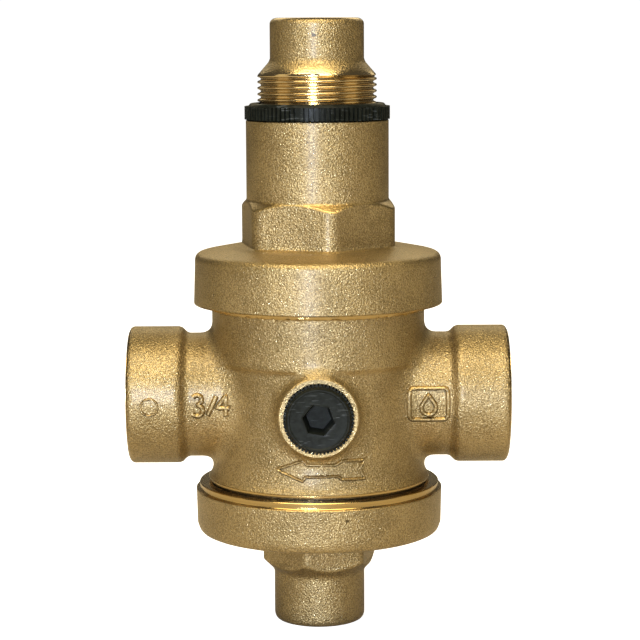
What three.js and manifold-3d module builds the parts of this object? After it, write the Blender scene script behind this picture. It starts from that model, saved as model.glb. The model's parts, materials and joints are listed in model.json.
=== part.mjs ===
// A three-quarter inch pressure reducing valve, in millimetres, +Z up, standing on the end of its
// bottom spigot with the valve's own axis on Z and the pipe axis along X. Water enters the port at +X,
// goes down under the seat, up past the poppet and out through the port at -X. A spring in the bonnet
// holds the poppet open, and the outlet pressure under the diaphragm lifts it shut.
import * as THREE from "three";
import { mergeVertices } from "three/addons/utils/BufferGeometryUtils.js";
import Module from "manifold-3d";

const wasm = await Module();
wasm.setup();

// ---------------------------------------------------------------- driving dimensions

const GAP = 0.3; // clearance kept between neighbouring pieces

// Pipe ports: G 3/4 female threads, cut to their minor diameter
const FACE_TO_FACE = 95;
const PORT_THREAD_RADIUS = 13.22;
const PORT_THREAD_DEPTH = 1.16;
const PORT_THREAD_LENGTH = 15.4;
const PORT_WALL = 4.03;
const COLLAR_LENGTH = 12.6;
const COLLAR_CHAMFER = 0.8;
const NECK_STEP = 1.45;
const NECK_FILLET = 3;
const CHANNEL_RADIUS = 9.5;
const CHANNEL_START = 14;

// Body casting
const WAIST_RADIUS = 25.7;
const WAIST_WALL = 3.2; // round the upper chamber
const SHOULDER_STEP = 1.0;
const SHOULDER_ABOVE_AXIS = 8.5;
const BODY_BELOW_AXIS = 21.2;
const BODY_ABOVE_AXIS = 30.5;
const FOOT_FLARE = 2.1;
const HEAD_STEP = 2.3; // how far the head stands out past the waist
const HEAD_HEIGHT = 8.2;
const FOOT_THREAD_STEP = 1.4;
const LOWER_CHAMBER_WALL = 5.7;
const BRIDGE_HALF = 12.75; // half the height of the wall that parts the two chambers
const BRIDGE_RAISE = 0.25;
const RAMP_RADIUS = 6;

// Gauge bosses, front and rear: G 1/4
const BOSS_WALL = 3;
const BOSS_STEP = 3; // how far a boss stands out past the waist
const BOSS_BELOW_AXIS = 1.4;
const GAUGE_BORE_RADIUS = 6.75;
const GAUGE_BORE_DEPTH = 11.5;
const SENSING_RADIUS = 2;
const PLUG_FLANGE_LIP = 2.2; // how far the flange stands out past the shank
const PLUG_FLANGE_HEIGHT = 2.7;
const PLUG_SHANK_LENGTH = 8.5;
const PLUG_SOCKET_FLATS = 7;
const PLUG_SOCKET_DEPTH = 6;
const PLUG_SOCKET_TURN = 15;
const PLUG_TEETH = 30;
const PLUG_TOOTH_DEPTH = 0.35;

// Bottom cap
const SPIGOT_WALL = 3.4;
const SPIGOT_LENGTH = 13;
const SPIGOT_CHAMFER = 2;
const CAP_HEX_LIP = 1.55; // how far the flats stand out past the spigot
const CAP_HEX_HEIGHT = 11.5;
const CAP_HEX_TURN = -13.5;
const CAP_HEX_CORNER = 2.2;
const CAP_WALL = 3.7;
const CAP_HEIGHT = 11.6;
const CAP_STEP = 0.8;
const CAP_STEP_HEIGHT = 1.55;
const CAP_RELIEF = 0.7;
const CAP_FLOOR = 3.5;

// Bonnet
const SKIRT_WALL = 2.8;
const SKIRT_OVERLAP = 7.1;
const BONNET_EDGE_RISE = 1.4;
const BONNET_DOME_RISE = 3.2;
const BONNET_HEX_LIP = 0.2; // how far the flats stand out past the tower
const BONNET_HEX_HEIGHT = 8.7;
const BONNET_RECESS = 1.2; // how far the chamber under the spring reaches into the bonnet
const BONNET_RECESS_SLOPE = 1.6;
const BONNET_HEX_TURN = 6;
const BONNET_HEX_CORNER = 2.6;
const HEX_CHAMFER_SLOPE = 0.7;
const TOWER_WALL = 2.65;
const TOWER_HEIGHT = 20.4;

// Adjusting screw, M30 x 1.5, and its lock ring
const SCREW_RADIUS = 14.85;
const SCREW_PITCH = 1.5;
const SCREW_THREAD_DEPTH = 0.92;
const SCREW_THREADS_CUT = 6;
const SCREW_PROUD = 7;
const SCREW_SUNK = 21.3; // how far the screw reaches below the lock ring
const SCREW_WALL = 2.85;
const SCREW_ROOF = 2;
const SCREW_HEAD_STEP = 3.15; // how far the head is set back from the thread
const SCREW_CONE_HEIGHT = 3.3;
const SCREW_HEAD_HEIGHT = 10.7;
const SCREW_HEAD_CHAMFER = 1.1;
const SCREW_SOCKET_FLATS = 12;
const SCREW_SOCKET_DEPTH = 8;
const RING_HEIGHT = 3.8;
const RING_PROUD = 0.25; // how far the ring stands out past the tower
const RING_TEETH = 48;
const RING_TOOTH_DEPTH = 0.45;

// Diaphragm, plates and spring
const DIAPHRAGM_THICKNESS = 1.5;
const DIAPHRAGM_DROP = 3.6;
const SLIP_RING_THICKNESS = 0.5;
const PLATE_MARGIN = 5; // between the plate and the chamber wall
const PLATE_THICKNESS = 2.3;
const PLATE_BOSS_HEIGHT = 2.7;
const WASHER_MARGIN = 3.5; // how far the washer is set back from the plate
const WASHER_THICKNESS = 2;
const WIRE_RADIUS = 1.8;
const SPRING_GAP = 0.4; // between the spring and the screw round it
const SPRING_TURNS = 7.5;
const CLOSED_TURN_RISE = 2.15; // of an end turn, in wire radii
const SPRING_STEPS = 12; // along the wire, for each turn
const THRUST_PLATE_THICKNESS = 2;
const THRUST_PLATE_SPIGOT = 2.5; // reaches down inside the spring

// Spindle, poppet, seat and balancing piston
const STROKE = 2.5;
const SPINDLE_RADIUS = 5;
const SPINDLE_END_RADIUS = 4;
const SPINDLE_NUT_FLATS = 13;
const SPINDLE_NUT_HEIGHT = 4.7;
const LOWER_NUT_HEIGHT = 4.3;
const SPINDLE_SHOULDER_RADIUS = 6.5;
const SEAT_RADIUS = 7.8;
const SEAT_RING_WALL = 3.4;
const SEAT_RING_HEIGHT = 6.9;
const SEAT_LIP = 2;
const GASKET_THICKNESS = 3;
const GASKET_LAP = 2.2; // how far the gasket reaches past the seat
const GASKET_WASHER_THICKNESS = 1.3;
const HOLDER_WALL = 0.9;
const HOLDER_HEIGHT = 6;
const PISTON_RADIUS = 7.7;
const PISTON_LENGTH = 11.5;
const PISTON_GAP = 0.35;
const SPIGOT_FLOOR = 3;

// Rubber rings, by the radius of their section
const CAP_SEAL_SECTION = 0.8;
const CAP_SEAL_RAISE = 1.6; // from the cap's floor to the seal's groove
const SEAT_SEAL_SECTION = 0.6;
const SEAT_SEAL_RAISE = 2.6; // from the bridge's underside to the seal's groove
const SEAT_SEAL_OUTSET = 0.12; // how far the seal stands out past the seat ring
const SEAT_SEAL_SLACK = 0.03;
const PISTON_SEAL_SECTION = 0.75;
const PLUG_SEAL_SECTION = 0.75;

// ---------------------------------------------------------------- radii that fit to one another

const portRadius = PORT_THREAD_RADIUS + PORT_WALL;
const neckRadius = portRadius - NECK_STEP;
const shoulderRadius = WAIST_RADIUS + SHOULDER_STEP;
const footRadius = WAIST_RADIUS + FOOT_FLARE;
const headRadius = WAIST_RADIUS + HEAD_STEP;
const footThreadRadius = WAIST_RADIUS + FOOT_THREAD_STEP;
const upperChamberRadius = WAIST_RADIUS - WAIST_WALL;
const lowerChamberRadius = WAIST_RADIUS - LOWER_CHAMBER_WALL;
const bossRadius = GAUGE_BORE_RADIUS + BOSS_WALL;
const bossReach = WAIST_RADIUS + BOSS_STEP;
const plugShankRadius = GAUGE_BORE_RADIUS - GAP;
const plugFlangeRadius = plugShankRadius + PLUG_FLANGE_LIP;

const capBore = footThreadRadius + GAP;
const capRadius = capBore + CAP_WALL;
const spigotBore = PISTON_RADIUS + PISTON_GAP;
const spigotRadius = spigotBore + SPIGOT_WALL;
const capHexFlats = 2 * (spigotRadius + CAP_HEX_LIP);

const skirtBore = headRadius + GAP;
const skirtRadius = skirtBore + SKIRT_WALL;
const clampRadius = headRadius - GAP;
const towerBore = SCREW_RADIUS + GAP;
const towerRadius = towerBore + TOWER_WALL;
const bonnetHexFlats = 2 * (towerRadius + BONNET_HEX_LIP);
const bonnetHexRadius = bonnetHexFlats / Math.sqrt(3);
const ringRadius = towerRadius + RING_PROUD;
const screwBore = SCREW_RADIUS - SCREW_WALL;
const screwHeadRadius = SCREW_RADIUS - SCREW_HEAD_STEP;
const springRadius = screwBore - SPRING_GAP - WIRE_RADIUS;
const springInside = springRadius - WIRE_RADIUS;
const plateRadius = upperChamberRadius - PLATE_MARGIN;
const washerRadius = plateRadius - WASHER_MARGIN;

const seatRingRadius = SEAT_RADIUS + SEAT_RING_WALL;
const seatSocket = seatRingRadius + GAP;
const gasketRadius = SEAT_RADIUS + GASKET_LAP;
const holderRadius = gasketRadius + GAP + HOLDER_WALL;
const stemBore = SPINDLE_END_RADIUS + GAP;

// ---------------------------------------------------------------- heights, from the bottom up

const spigotTop = SPIGOT_LENGTH;
const capUnderside = spigotTop + CAP_HEX_HEIGHT;
const capTop = capUnderside + CAP_HEIGHT;
const capFloor = capUnderside + CAP_FLOOR;
const capSealGroove = capFloor + CAP_SEAL_RAISE;
const bodyEdge = capTop + CAP_RELIEF;
const axisZ = bodyEdge + BODY_BELOW_AXIS;
const bodyTop = axisZ + BODY_ABOVE_AXIS;
const lowerRoof = axisZ - BRIDGE_HALF + BRIDGE_RAISE;
const upperFloor = axisZ + BRIDGE_HALF + BRIDGE_RAISE;
const seatSealGroove = lowerRoof + SEAT_SEAL_RAISE;
const gaugeZ = axisZ - BOSS_BELOW_AXIS;

const diaphragmRim = bodyTop + GAP;
const slipRing = diaphragmRim + DIAPHRAGM_THICKNESS + GAP;
const bonnetLedge = slipRing + SLIP_RING_THICKNESS + GAP;
const skirtBottom = bodyTop - SKIRT_OVERLAP;
const bonnetEdge = bonnetLedge + BONNET_EDGE_RISE;
const bonnetHexBase = bonnetEdge + BONNET_DOME_RISE;
const bonnetHexTop = bonnetHexBase + BONNET_HEX_HEIGHT;
const towerBase = bonnetHexTop + (bonnetHexRadius - towerRadius) * HEX_CHAMFER_SLOPE;
const towerTop = towerBase + TOWER_HEIGHT;
const ringBottom = towerTop + GAP;
const ringTop = ringBottom + RING_HEIGHT;
const threadTop = ringTop + SCREW_PROUD;
const screwBottom = ringTop - SCREW_SUNK;
const headBase = threadTop + SCREW_CONE_HEIGHT;
const screwTop = headBase + SCREW_HEAD_HEIGHT;
const screwCeiling = threadTop - SCREW_ROOF;
const thrustPlate = screwCeiling - GAP - THRUST_PLATE_THICKNESS;

const diaphragmCentre = diaphragmRim - DIAPHRAGM_DROP;
const washerBottom = diaphragmCentre - GAP - WASHER_THICKNESS;
const shoulderTop = washerBottom - GAP;
const plateBottom = diaphragmCentre + DIAPHRAGM_THICKNESS + GAP;
const plateTop = plateBottom + PLATE_THICKNESS;
const plateBossTop = plateTop + PLATE_BOSS_HEIGHT;
const topNut = plateBossTop + GAP;
const spindleTop = topNut + SPINDLE_NUT_HEIGHT + 2;

const seatLip = lowerRoof - SEAT_LIP;
const gasketTop = seatLip - GAP - STROKE;
const gasketBottom = gasketTop - GASKET_THICKNESS;
const gasketWasher = gasketTop + GAP;
const lowerShoulder = gasketWasher + GASKET_WASHER_THICKNESS + GAP;
const holderRim = gasketTop - 1;
const holderBottom = holderRim - HOLDER_HEIGHT;
const lowerNutTop = holderBottom - GAP;
const lowerNutHeight = Math.min(LOWER_NUT_HEIGHT, lowerNutTop - capFloor - 1);
const pistonBottom = SPIGOT_FLOOR + 2;
const pistonTop = pistonBottom + PISTON_LENGTH;
const spindleBottom = pistonBottom + PISTON_LENGTH / 2;

// ---------------------------------------------------------------- making solids

const ROUND = 32; // facets round a large turned piece
const SMALL = 20; // facets round a small one
const PORT_FACETS = 24; // facets round a pipe port or a gauge boss

function solidOf(geometry) {
  geometry.deleteAttribute("normal");
  geometry.deleteAttribute("uv");
  const merged = mergeVertices(geometry, 1e-4);
  const vertProperties = new Float32Array(merged.attributes.position.array);
  const triVerts = new Uint32Array(merged.index.array);
  return new wasm.Manifold(new wasm.Mesh({ numProp: 3, vertProperties, triVerts }));
}

function geometryOf(solid) {
  const { vertProperties, triVerts } = solid.getMesh();
  const geometry = new THREE.BufferGeometry();
  geometry.setAttribute("position", new THREE.BufferAttribute(new Float32Array(vertProperties), 3));
  geometry.setIndex(new THREE.BufferAttribute(new Uint32Array(triVerts), 1));
  geometry.computeVertexNormals();
  return geometry;
}

// Turns a profile of [radius, height] points about Z. The profile is closed on itself.
function turned(profile, facets = ROUND) {
  const closed = [...profile, profile[0]];
  let area = 0;
  for (let i = 0; i < profile.length; i++) {
    area += closed[i][0] * closed[i + 1][1] - closed[i + 1][0] * closed[i][1];
  }
  const ordered = area > 0 ? closed : closed.reverse();
  const points = ordered.map(([r, z]) => new THREE.Vector2(Math.max(r, 0), z));
  const geometry = new THREE.LatheGeometry(points, facets);
  geometry.rotateX(Math.PI / 2);
  return solidOf(geometry);
}

const cylinder = (radius, low, high, facets = ROUND) =>
  turned([[0, low], [radius, low], [radius, high], [0, high]], facets);

// The profile of a ring with a round section, as an O-ring has.
function roundSection(radius, z, section, sides = 6) {
  const points = [];
  for (let i = 0; i < sides; i++) {
    const angle = (2 * Math.PI * i) / sides;
    points.push([radius + section * Math.cos(angle), z + section * Math.sin(angle)]);
  }
  return points;
}

// The zigzag of a V thread's crests and roots along Z, as points of a profile.
function threadProfile(crest, root, start, pitch, count) {
  const points = [];
  for (let i = 0; i < count; i++) {
    points.push([crest, start + pitch * i], [root, start + pitch * (i + 0.5)]);
  }
  points.push([crest, start + pitch * count]);
  return points;
}

// A prism along Z from a shape in XY.
function prism(shape, low, high, curveSegments = 6) {
  const options = { depth: high - low, bevelEnabled: false, curveSegments };
  const geometry = new THREE.ExtrudeGeometry(shape, options);
  geometry.translate(0, 0, low);
  return solidOf(geometry);
}

// A hexagon by its width across flats, with its corners rounded and turned by some degrees.
function hexagon(flats, corner = 0, turn = 0) {
  const shape = new THREE.Shape();
  const apothem = flats / 2;
  const centreDistance = (apothem - corner) / Math.cos(Math.PI / 6);
  for (let i = 0; i < 6; i++) {
    const angle = THREE.MathUtils.degToRad(60 * i + turn);
    const x = centreDistance * Math.cos(angle);
    const y = centreDistance * Math.sin(angle);
    if (corner > 0) {
      shape.absarc(x, y, corner, angle - Math.PI / 6, angle + Math.PI / 6, false);
    } else if (i === 0) {
      shape.moveTo(x, y);
    } else {
      shape.lineTo(x, y);
    }
  }
  shape.closePath();
  return shape;
}

// A disc whose rim carries a number of equal teeth.
function toothedDisc(radius, toothDepth, teeth) {
  const shape = new THREE.Shape();
  for (let i = 0; i < 2 * teeth; i++) {
    const angle = (Math.PI * i) / teeth;
    const r = i % 2 ? radius - toothDepth : radius;
    const point = [r * Math.cos(angle), r * Math.sin(angle)];
    if (i === 0) shape.moveTo(...point);
    else shape.lineTo(...point);
  }
  shape.closePath();
  return shape;
}

const alongX = (solid) => solid.rotate([0, 90, 0]); // Z becomes +X
const alongFront = (solid) => solid.rotate([90, 0, 0]); // Z becomes -Y

// ---------------------------------------------------------------- body

// One pipe port, with the pipe axis on Z and the valve's axis at 0.
function portOutside() {
  const end = FACE_TO_FACE / 2;
  const collarStart = end - COLLAR_LENGTH;
  const barrel = shoulderRadius - 0.6;
  return turned([
    [0, 0],
    [neckRadius + NECK_FILLET, 0],
    [neckRadius + NECK_FILLET, barrel - 2],
    [neckRadius + NECK_FILLET * 0.3, barrel + NECK_FILLET * 0.3],
    [neckRadius, barrel + NECK_FILLET],
    [neckRadius, collarStart - NECK_STEP * 1.15],
    [portRadius, collarStart],
    [portRadius, end - COLLAR_CHAMFER],
    [portRadius - COLLAR_CHAMFER, end],
    [0, end],
  ], PORT_FACETS);
}

function portBore() {
  const end = FACE_TO_FACE / 2;
  const minor = PORT_THREAD_RADIUS - PORT_THREAD_DEPTH;
  const threadEnd = end - PORT_THREAD_LENGTH;
  return turned([
    [0, CHANNEL_START],
    [CHANNEL_RADIUS, CHANNEL_START],
    [CHANNEL_RADIUS, threadEnd - 3.5],
    [minor, threadEnd - 3.5 + minor - CHANNEL_RADIUS],
    [minor, end - PORT_THREAD_DEPTH - 0.2],
    [PORT_THREAD_RADIUS + 0.2, end],
    [PORT_THREAD_RADIUS + 0.2, end + 1],
    [0, end + 1],
  ], PORT_FACETS);
}

// The slanting way from a port's channel to one of the chambers; side is +1 for the lower chamber.
function ramp(side) {
  const reach = BRIDGE_HALF + 4;
  const lean = THREE.MathUtils.radToDeg(Math.atan2(7, reach));
  const tube = cylinder(RAMP_RADIUS, -1.5, reach + 1.5, SMALL).scale([1, 1.4, 1]);
  const channelEnd = [side * (lowerChamberRadius + 4), 0, axisZ];
  return tube.rotate([0, side > 0 ? 180 + lean : lean, 0]).translate(channelEnd);
}

function gaugeBossOutside() {
  return alongFront(turned([
    [0, 0],
    [bossRadius + 2, 0],
    [bossRadius + 2, WAIST_RADIUS - 2],
    [bossRadius + 0.7, WAIST_RADIUS - 0.6],
    [bossRadius, WAIST_RADIUS + 0.6],
    [bossRadius, bossReach - 0.5],
    [bossRadius - 0.5, bossReach],
    [0, bossReach],
  ], PORT_FACETS)).translate([0, 0, gaugeZ]);
}

// The threaded bore for a gauge, with a seat for the plug's seal at its mouth.
function gaugeBore() {
  const sealSeat = plugShankRadius + 2 * PLUG_SEAL_SECTION + 0.35;
  return alongFront(turned([
    [0, bossReach - GAUGE_BORE_DEPTH],
    [GAUGE_BORE_RADIUS, bossReach - GAUGE_BORE_DEPTH],
    [GAUGE_BORE_RADIUS, bossReach - 2 * PLUG_SEAL_SECTION - GAP],
    [sealSeat, bossReach - 2 * PLUG_SEAL_SECTION - GAP],
    [sealSeat, bossReach + 1],
    [0, bossReach + 1],
  ], SMALL)).translate([0, 0, gaugeZ]);
}

// The drilled hole that joins a gauge bore to the outlet chamber above it.
function sensingHole() {
  const y = -(bossReach - GAUGE_BORE_DEPTH + SENSING_RADIUS);
  return cylinder(SENSING_RADIUS, gaugeZ, upperFloor + 2, 16).translate([0, y, 0]);
}

function makeBody() {
  const barrel = turned([
    [0, capFloor + 0.6],
    [footThreadRadius - 0.6, capFloor + 0.6],
    [footThreadRadius, capFloor + 1.2],
    [footThreadRadius, bodyEdge],
    [footRadius, bodyEdge],
    [footRadius, bodyEdge + 0.8],
    [footRadius - 1, bodyEdge + 2.8],
    [WAIST_RADIUS, axisZ - 8],
    [WAIST_RADIUS, axisZ + SHOULDER_ABOVE_AXIS - 1],
    [shoulderRadius, axisZ + SHOULDER_ABOVE_AXIS + 0.6],
    [shoulderRadius, bodyTop - HEAD_HEIGHT],
    [headRadius, bodyTop - HEAD_HEIGHT],
    [headRadius, bodyTop - 0.6],
    [headRadius - 0.6, bodyTop],
    [0, bodyTop],
  ]);
  const port = alongX(portOutside()).translate([0, 0, axisZ]);
  const bore = alongX(portBore()).translate([0, 0, axisZ]);
  const boss = gaugeBossOutside();
  const gauge = gaugeBore();
  const outside = [port, port.mirror([1, 0, 0]), boss, boss.mirror([0, 1, 0])];
  const sealGroove = turned([
    [footThreadRadius - 2 * CAP_SEAL_SECTION - GAP, capSealGroove],
    [footThreadRadius + 1, capSealGroove],
    [footThreadRadius + 1, capSealGroove + 2 * (CAP_SEAL_SECTION + GAP)],
    [footThreadRadius - 2 * CAP_SEAL_SECTION - GAP, capSealGroove + 2 * (CAP_SEAL_SECTION + GAP)],
  ]);
  const cuts = [
    bore,
    bore.mirror([1, 0, 0]),
    ramp(1),
    ramp(-1),
    cylinder(lowerChamberRadius, capFloor - 1, lowerRoof),
    cylinder(upperChamberRadius, upperFloor, bodyTop + 1),
    cylinder(seatSocket, lowerRoof - 1, lowerRoof + SEAT_RING_HEIGHT + GAP),
    cylinder(SEAT_RADIUS + 1.7, lowerRoof, upperFloor + 1),
    gauge,
    gauge.mirror([0, 1, 0]),
    sensingHole(),
    sensingHole().mirror([0, 1, 0]),
    sealGroove,
  ];
  const whole = outside.reduce((sum, piece) => sum.add(piece), barrel);
  return cuts.reduce((rest, cut) => rest.subtract(cut), whole);
}

// ---------------------------------------------------------------- bottom cap

function makeBottomCap() {
  const hexRadius = capHexFlats / Math.sqrt(3);
  const hex = prism(hexagon(capHexFlats, CAP_HEX_CORNER, CAP_HEX_TURN + 30), spigotTop, capUnderside + 1);
  // The cone that chamfers the hexagon down to the spigot.
  const chamfered = hex.intersect(turned([
    [0, spigotTop],
    [spigotRadius, spigotTop],
    [hexRadius + 1, spigotTop + hexRadius + 1 - spigotRadius],
    [hexRadius + 1, capTop],
    [0, capTop],
  ]));
  const outside = turned([
    [0, 0],
    [spigotRadius - SPIGOT_CHAMFER, 0],
    [spigotRadius, SPIGOT_CHAMFER],
    [spigotRadius, spigotTop + 1],
    [spigotRadius, capUnderside],
    [capRadius - 2.2, capUnderside],
    [capRadius - 0.8, capUnderside + 0.5],
    [capRadius - 0.2, capUnderside + 1.6],
    [capRadius, capTop - CAP_STEP_HEIGHT],
    [capRadius - CAP_STEP, capTop - CAP_STEP_HEIGHT],
    [capRadius - CAP_STEP, capTop],
    [0, capTop],
  ]);
  const inside = turned([
    [0, SPIGOT_FLOOR],
    [spigotBore, SPIGOT_FLOOR],
    [spigotBore, capFloor - 2],
    [spigotBore + 2, capFloor],
    [capBore, capFloor],
    [capBore, capTop + 1],
    [0, capTop + 1],
  ]);
  return outside.add(chamfered).subtract(inside);
}

const makeCapSeal = () =>
  turned(roundSection(
    footThreadRadius - CAP_SEAL_SECTION,
    capSealGroove + CAP_SEAL_SECTION + GAP,
    CAP_SEAL_SECTION,
  ));

// ---------------------------------------------------------------- bonnet, lock ring, adjusting screw

function makeBonnet() {
  const hex = prism(
    hexagon(bonnetHexFlats, BONNET_HEX_CORNER, BONNET_HEX_TURN + 30),
    bonnetEdge,
    towerBase + 1,
  ).intersect(turned([
    [0, bonnetEdge - 1],
    [bonnetHexRadius + 1, bonnetEdge - 1],
    [bonnetHexRadius + 1, bonnetHexTop - (towerBase - bonnetHexTop) / (bonnetHexRadius - towerRadius)],
    [towerRadius, towerBase],
    [0, towerBase],
  ]));
  const outside = turned([
    [0, skirtBottom],
    [skirtRadius - 0.4, skirtBottom],
    [skirtRadius, skirtBottom + 0.4],
    [skirtRadius - 0.15, bonnetEdge - 0.2],
    [skirtRadius - 0.4, bonnetEdge + 0.6],
    [skirtRadius - 1.1, bonnetEdge + 1.3],
    [skirtRadius - 3.1, bonnetEdge + 2.0],
    [skirtRadius - 6.1, bonnetEdge + 2.6],
    [bonnetHexRadius, bonnetHexBase],
    [towerRadius, bonnetHexBase + 0.5],
    [towerRadius, towerTop],
    [0, towerTop],
  ]);
  const inside = turned([
    [0, skirtBottom - 1],
    [skirtBore, skirtBottom - 1],
    [skirtBore, bonnetLedge],
    [upperChamberRadius + 1, bonnetLedge],
    [upperChamberRadius + 1, bonnetLedge + BONNET_RECESS],
    [towerBore, bonnetLedge + BONNET_RECESS + BONNET_RECESS_SLOPE],
    [towerBore, towerTop + 1],
    [0, towerTop + 1],
  ]);
  return outside.add(hex).subtract(inside);
}

function makeLockRing() {
  const toothed = prism(toothedDisc(ringRadius, RING_TOOTH_DEPTH, RING_TEETH), ringBottom, ringTop);
  const envelope = turned([
    [towerBore, ringBottom],
    [ringRadius - 0.5, ringBottom],
    [ringRadius + 0.1, ringBottom + 0.4],
    [ringRadius + 0.1, ringTop - 0.6],
    [ringRadius - 0.8, ringTop],
    [towerBore, ringTop],
  ]);
  return toothed.intersect(envelope);
}

function makeAdjustingScrew() {
  const root = SCREW_RADIUS - SCREW_THREAD_DEPTH;
  const threadStart = threadTop - SCREW_PITCH * SCREW_THREADS_CUT;
  const outside = turned([
    [0, screwBottom],
    [root, screwBottom],
    [SCREW_RADIUS, screwBottom + SCREW_THREAD_DEPTH],
    ...threadProfile(SCREW_RADIUS, root, threadStart, SCREW_PITCH, SCREW_THREADS_CUT),
    [screwHeadRadius + 0.5, headBase - 0.3],
    [screwHeadRadius, headBase + 0.4],
    [screwHeadRadius, screwTop - SCREW_HEAD_CHAMFER],
    [screwHeadRadius - SCREW_HEAD_CHAMFER, screwTop],
    [0, screwTop],
  ]);
  const hollow = cylinder(screwBore, screwBottom - 1, screwCeiling);
  const socket = prism(hexagon(SCREW_SOCKET_FLATS), screwTop - SCREW_SOCKET_DEPTH, screwTop + 1);
  return outside.subtract(hollow).subtract(socket);
}

// ---------------------------------------------------------------- gauge plugs

// A plug for a gauge bore, standing along Z with the underside of its flange at 0.
function makePlug() {
  const flange = prism(
    toothedDisc(plugFlangeRadius, PLUG_TOOTH_DEPTH, PLUG_TEETH), 0, PLUG_FLANGE_HEIGHT,
  ).intersect(turned([
    [0, 0],
    [plugFlangeRadius + 0.1, 0],
    [plugFlangeRadius + 0.1, PLUG_FLANGE_HEIGHT - 0.6],
    [plugFlangeRadius - 0.8, PLUG_FLANGE_HEIGHT],
    [0, PLUG_FLANGE_HEIGHT],
  ]));
  const shank = turned([
    [0, -PLUG_SHANK_LENGTH],
    [plugShankRadius - 0.8, -PLUG_SHANK_LENGTH],
    [plugShankRadius, 0.8 - PLUG_SHANK_LENGTH],
    [plugShankRadius, 1],
    [0, 1],
  ], SMALL);
  const socket = prism(
    hexagon(PLUG_SOCKET_FLATS, 0, PLUG_SOCKET_TURN),
    PLUG_FLANGE_HEIGHT - PLUG_SOCKET_DEPTH,
    PLUG_FLANGE_HEIGHT + 1,
  );
  return flange.add(shank).subtract(socket);
}

const makePlugSeal = () =>
  turned(roundSection(plugShankRadius + PLUG_SEAL_SECTION + 0.2, 0, PLUG_SEAL_SECTION), SMALL);

const plugPlace = (solid) => alongFront(solid).translate([0, -bossReach - GAP, gaugeZ]);
const sealPlace = (solid) =>
  alongFront(solid).translate([0, -bossReach + PLUG_SEAL_SECTION, gaugeZ]);

// ---------------------------------------------------------------- diaphragm, plates, spring

function makeDiaphragm() {
  const top = DIAPHRAGM_THICKNESS;
  const slopeOut = upperChamberRadius - 0.6;
  const slopeIn = plateRadius + 0.6;
  return turned([
    [stemBore, diaphragmCentre],
    [slopeIn, diaphragmCentre],
    [slopeOut, diaphragmRim],
    [clampRadius, diaphragmRim],
    [clampRadius, diaphragmRim + top],
    [slopeOut - 0.6, diaphragmRim + top],
    [slopeIn - 0.6, diaphragmCentre + top],
    [stemBore, diaphragmCentre + top],
  ]);
}

const ringOf = (inner, outer, low, high, facets = SMALL) =>
  turned([[inner, low], [outer, low], [outer, high], [inner, high]], facets);

const makeSlipRing = () =>
  ringOf(upperChamberRadius + 1.3, clampRadius, slipRing, slipRing + SLIP_RING_THICKNESS);

const makeDiaphragmPlate = () =>
  turned([
    [stemBore, plateBottom],
    [plateRadius - 0.8, plateBottom],
    [plateRadius, plateBottom + 0.8],
    [plateRadius, plateTop],
    [springInside - GAP, plateTop],
    [springInside - GAP - 0.6, plateBossTop],
    [stemBore, plateBossTop],
  ]);

const makeDiaphragmWasher = () =>
  turned([
    [stemBore, washerBottom],
    [washerRadius - 1, washerBottom],
    [washerRadius, washerBottom + 1],
    [washerRadius, washerBottom + WASHER_THICKNESS],
    [stemBore, washerBottom + WASHER_THICKNESS],
  ]);

const makeThrustPlate = () =>
  turned([
    [0, thrustPlate - THRUST_PLATE_SPIGOT],
    [springInside - GAP - 0.6, thrustPlate - THRUST_PLATE_SPIGOT],
    [springInside - GAP, thrustPlate],
    [screwBore - GAP, thrustPlate],
    [screwBore - GAP, thrustPlate + THRUST_PLATE_THICKNESS],
    [0, thrustPlate + THRUST_PLATE_THICKNESS],
  ]);

// A compression spring's wire, with its end turns closed up.
class SpringWire extends THREE.Curve {
  constructor(radius, low, high, turns) {
    super();
    Object.assign(this, { radius, low, high, turns });
  }
  getPoint(t) {
    const turn = t * this.turns;
    const closed = CLOSED_TURN_RISE * WIRE_RADIUS;
    const open = (this.high - this.low - 2 * closed) / (this.turns - 2);
    const rise = Math.min(turn, 1) * closed
      + Math.min(Math.max(turn - 1, 0), this.turns - 2) * open
      + Math.max(turn - this.turns + 1, 0) * closed;
    const angle = 2 * Math.PI * turn;
    return new THREE.Vector3(
      this.radius * Math.cos(angle), this.radius * Math.sin(angle), this.low + rise);
  }
}

function makeSpring() {
  const section = new THREE.Shape();
  section.absarc(0, 0, WIRE_RADIUS, 0, 2 * Math.PI, false);
  const low = plateTop + GAP + WIRE_RADIUS;
  const high = thrustPlate - GAP - WIRE_RADIUS;
  const extrudePath = new SpringWire(springRadius, low, high, SPRING_TURNS);
  const options = { steps: SPRING_TURNS * SPRING_STEPS, extrudePath, curveSegments: 3, bevelEnabled: false };
  return solidOf(new THREE.ExtrudeGeometry(section, options));
}

// ---------------------------------------------------------------- spindle, poppet, seat, piston

const makeSpindle = () =>
  turned([
    [0, spindleBottom],
    [SPINDLE_END_RADIUS, spindleBottom],
    [SPINDLE_END_RADIUS, lowerShoulder],
    [SPINDLE_RADIUS, lowerShoulder],
    [SPINDLE_RADIUS, shoulderTop - 2.5],
    [SPINDLE_SHOULDER_RADIUS, shoulderTop - 1.5],
    [SPINDLE_SHOULDER_RADIUS, shoulderTop],
    [SPINDLE_END_RADIUS, shoulderTop],
    [SPINDLE_END_RADIUS, spindleTop - 0.8],
    [SPINDLE_END_RADIUS - 0.8, spindleTop],
    [0, spindleTop],
  ], SMALL);

function hexNut(low, height) {
  const flats = Math.min(SPINDLE_NUT_FLATS, 2 * (springInside - 1));
  const outer = flats / Math.sqrt(3);
  const rounded = turned([
    [stemBore, low],
    [outer - 0.6, low],
    [outer + 0.1, low + 0.5],
    [outer + 0.1, low + height - 0.5],
    [outer - 0.6, low + height],
    [stemBore, low + height],
  ], SMALL);
  return prism(hexagon(flats), low, low + height).intersect(rounded);
}

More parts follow.
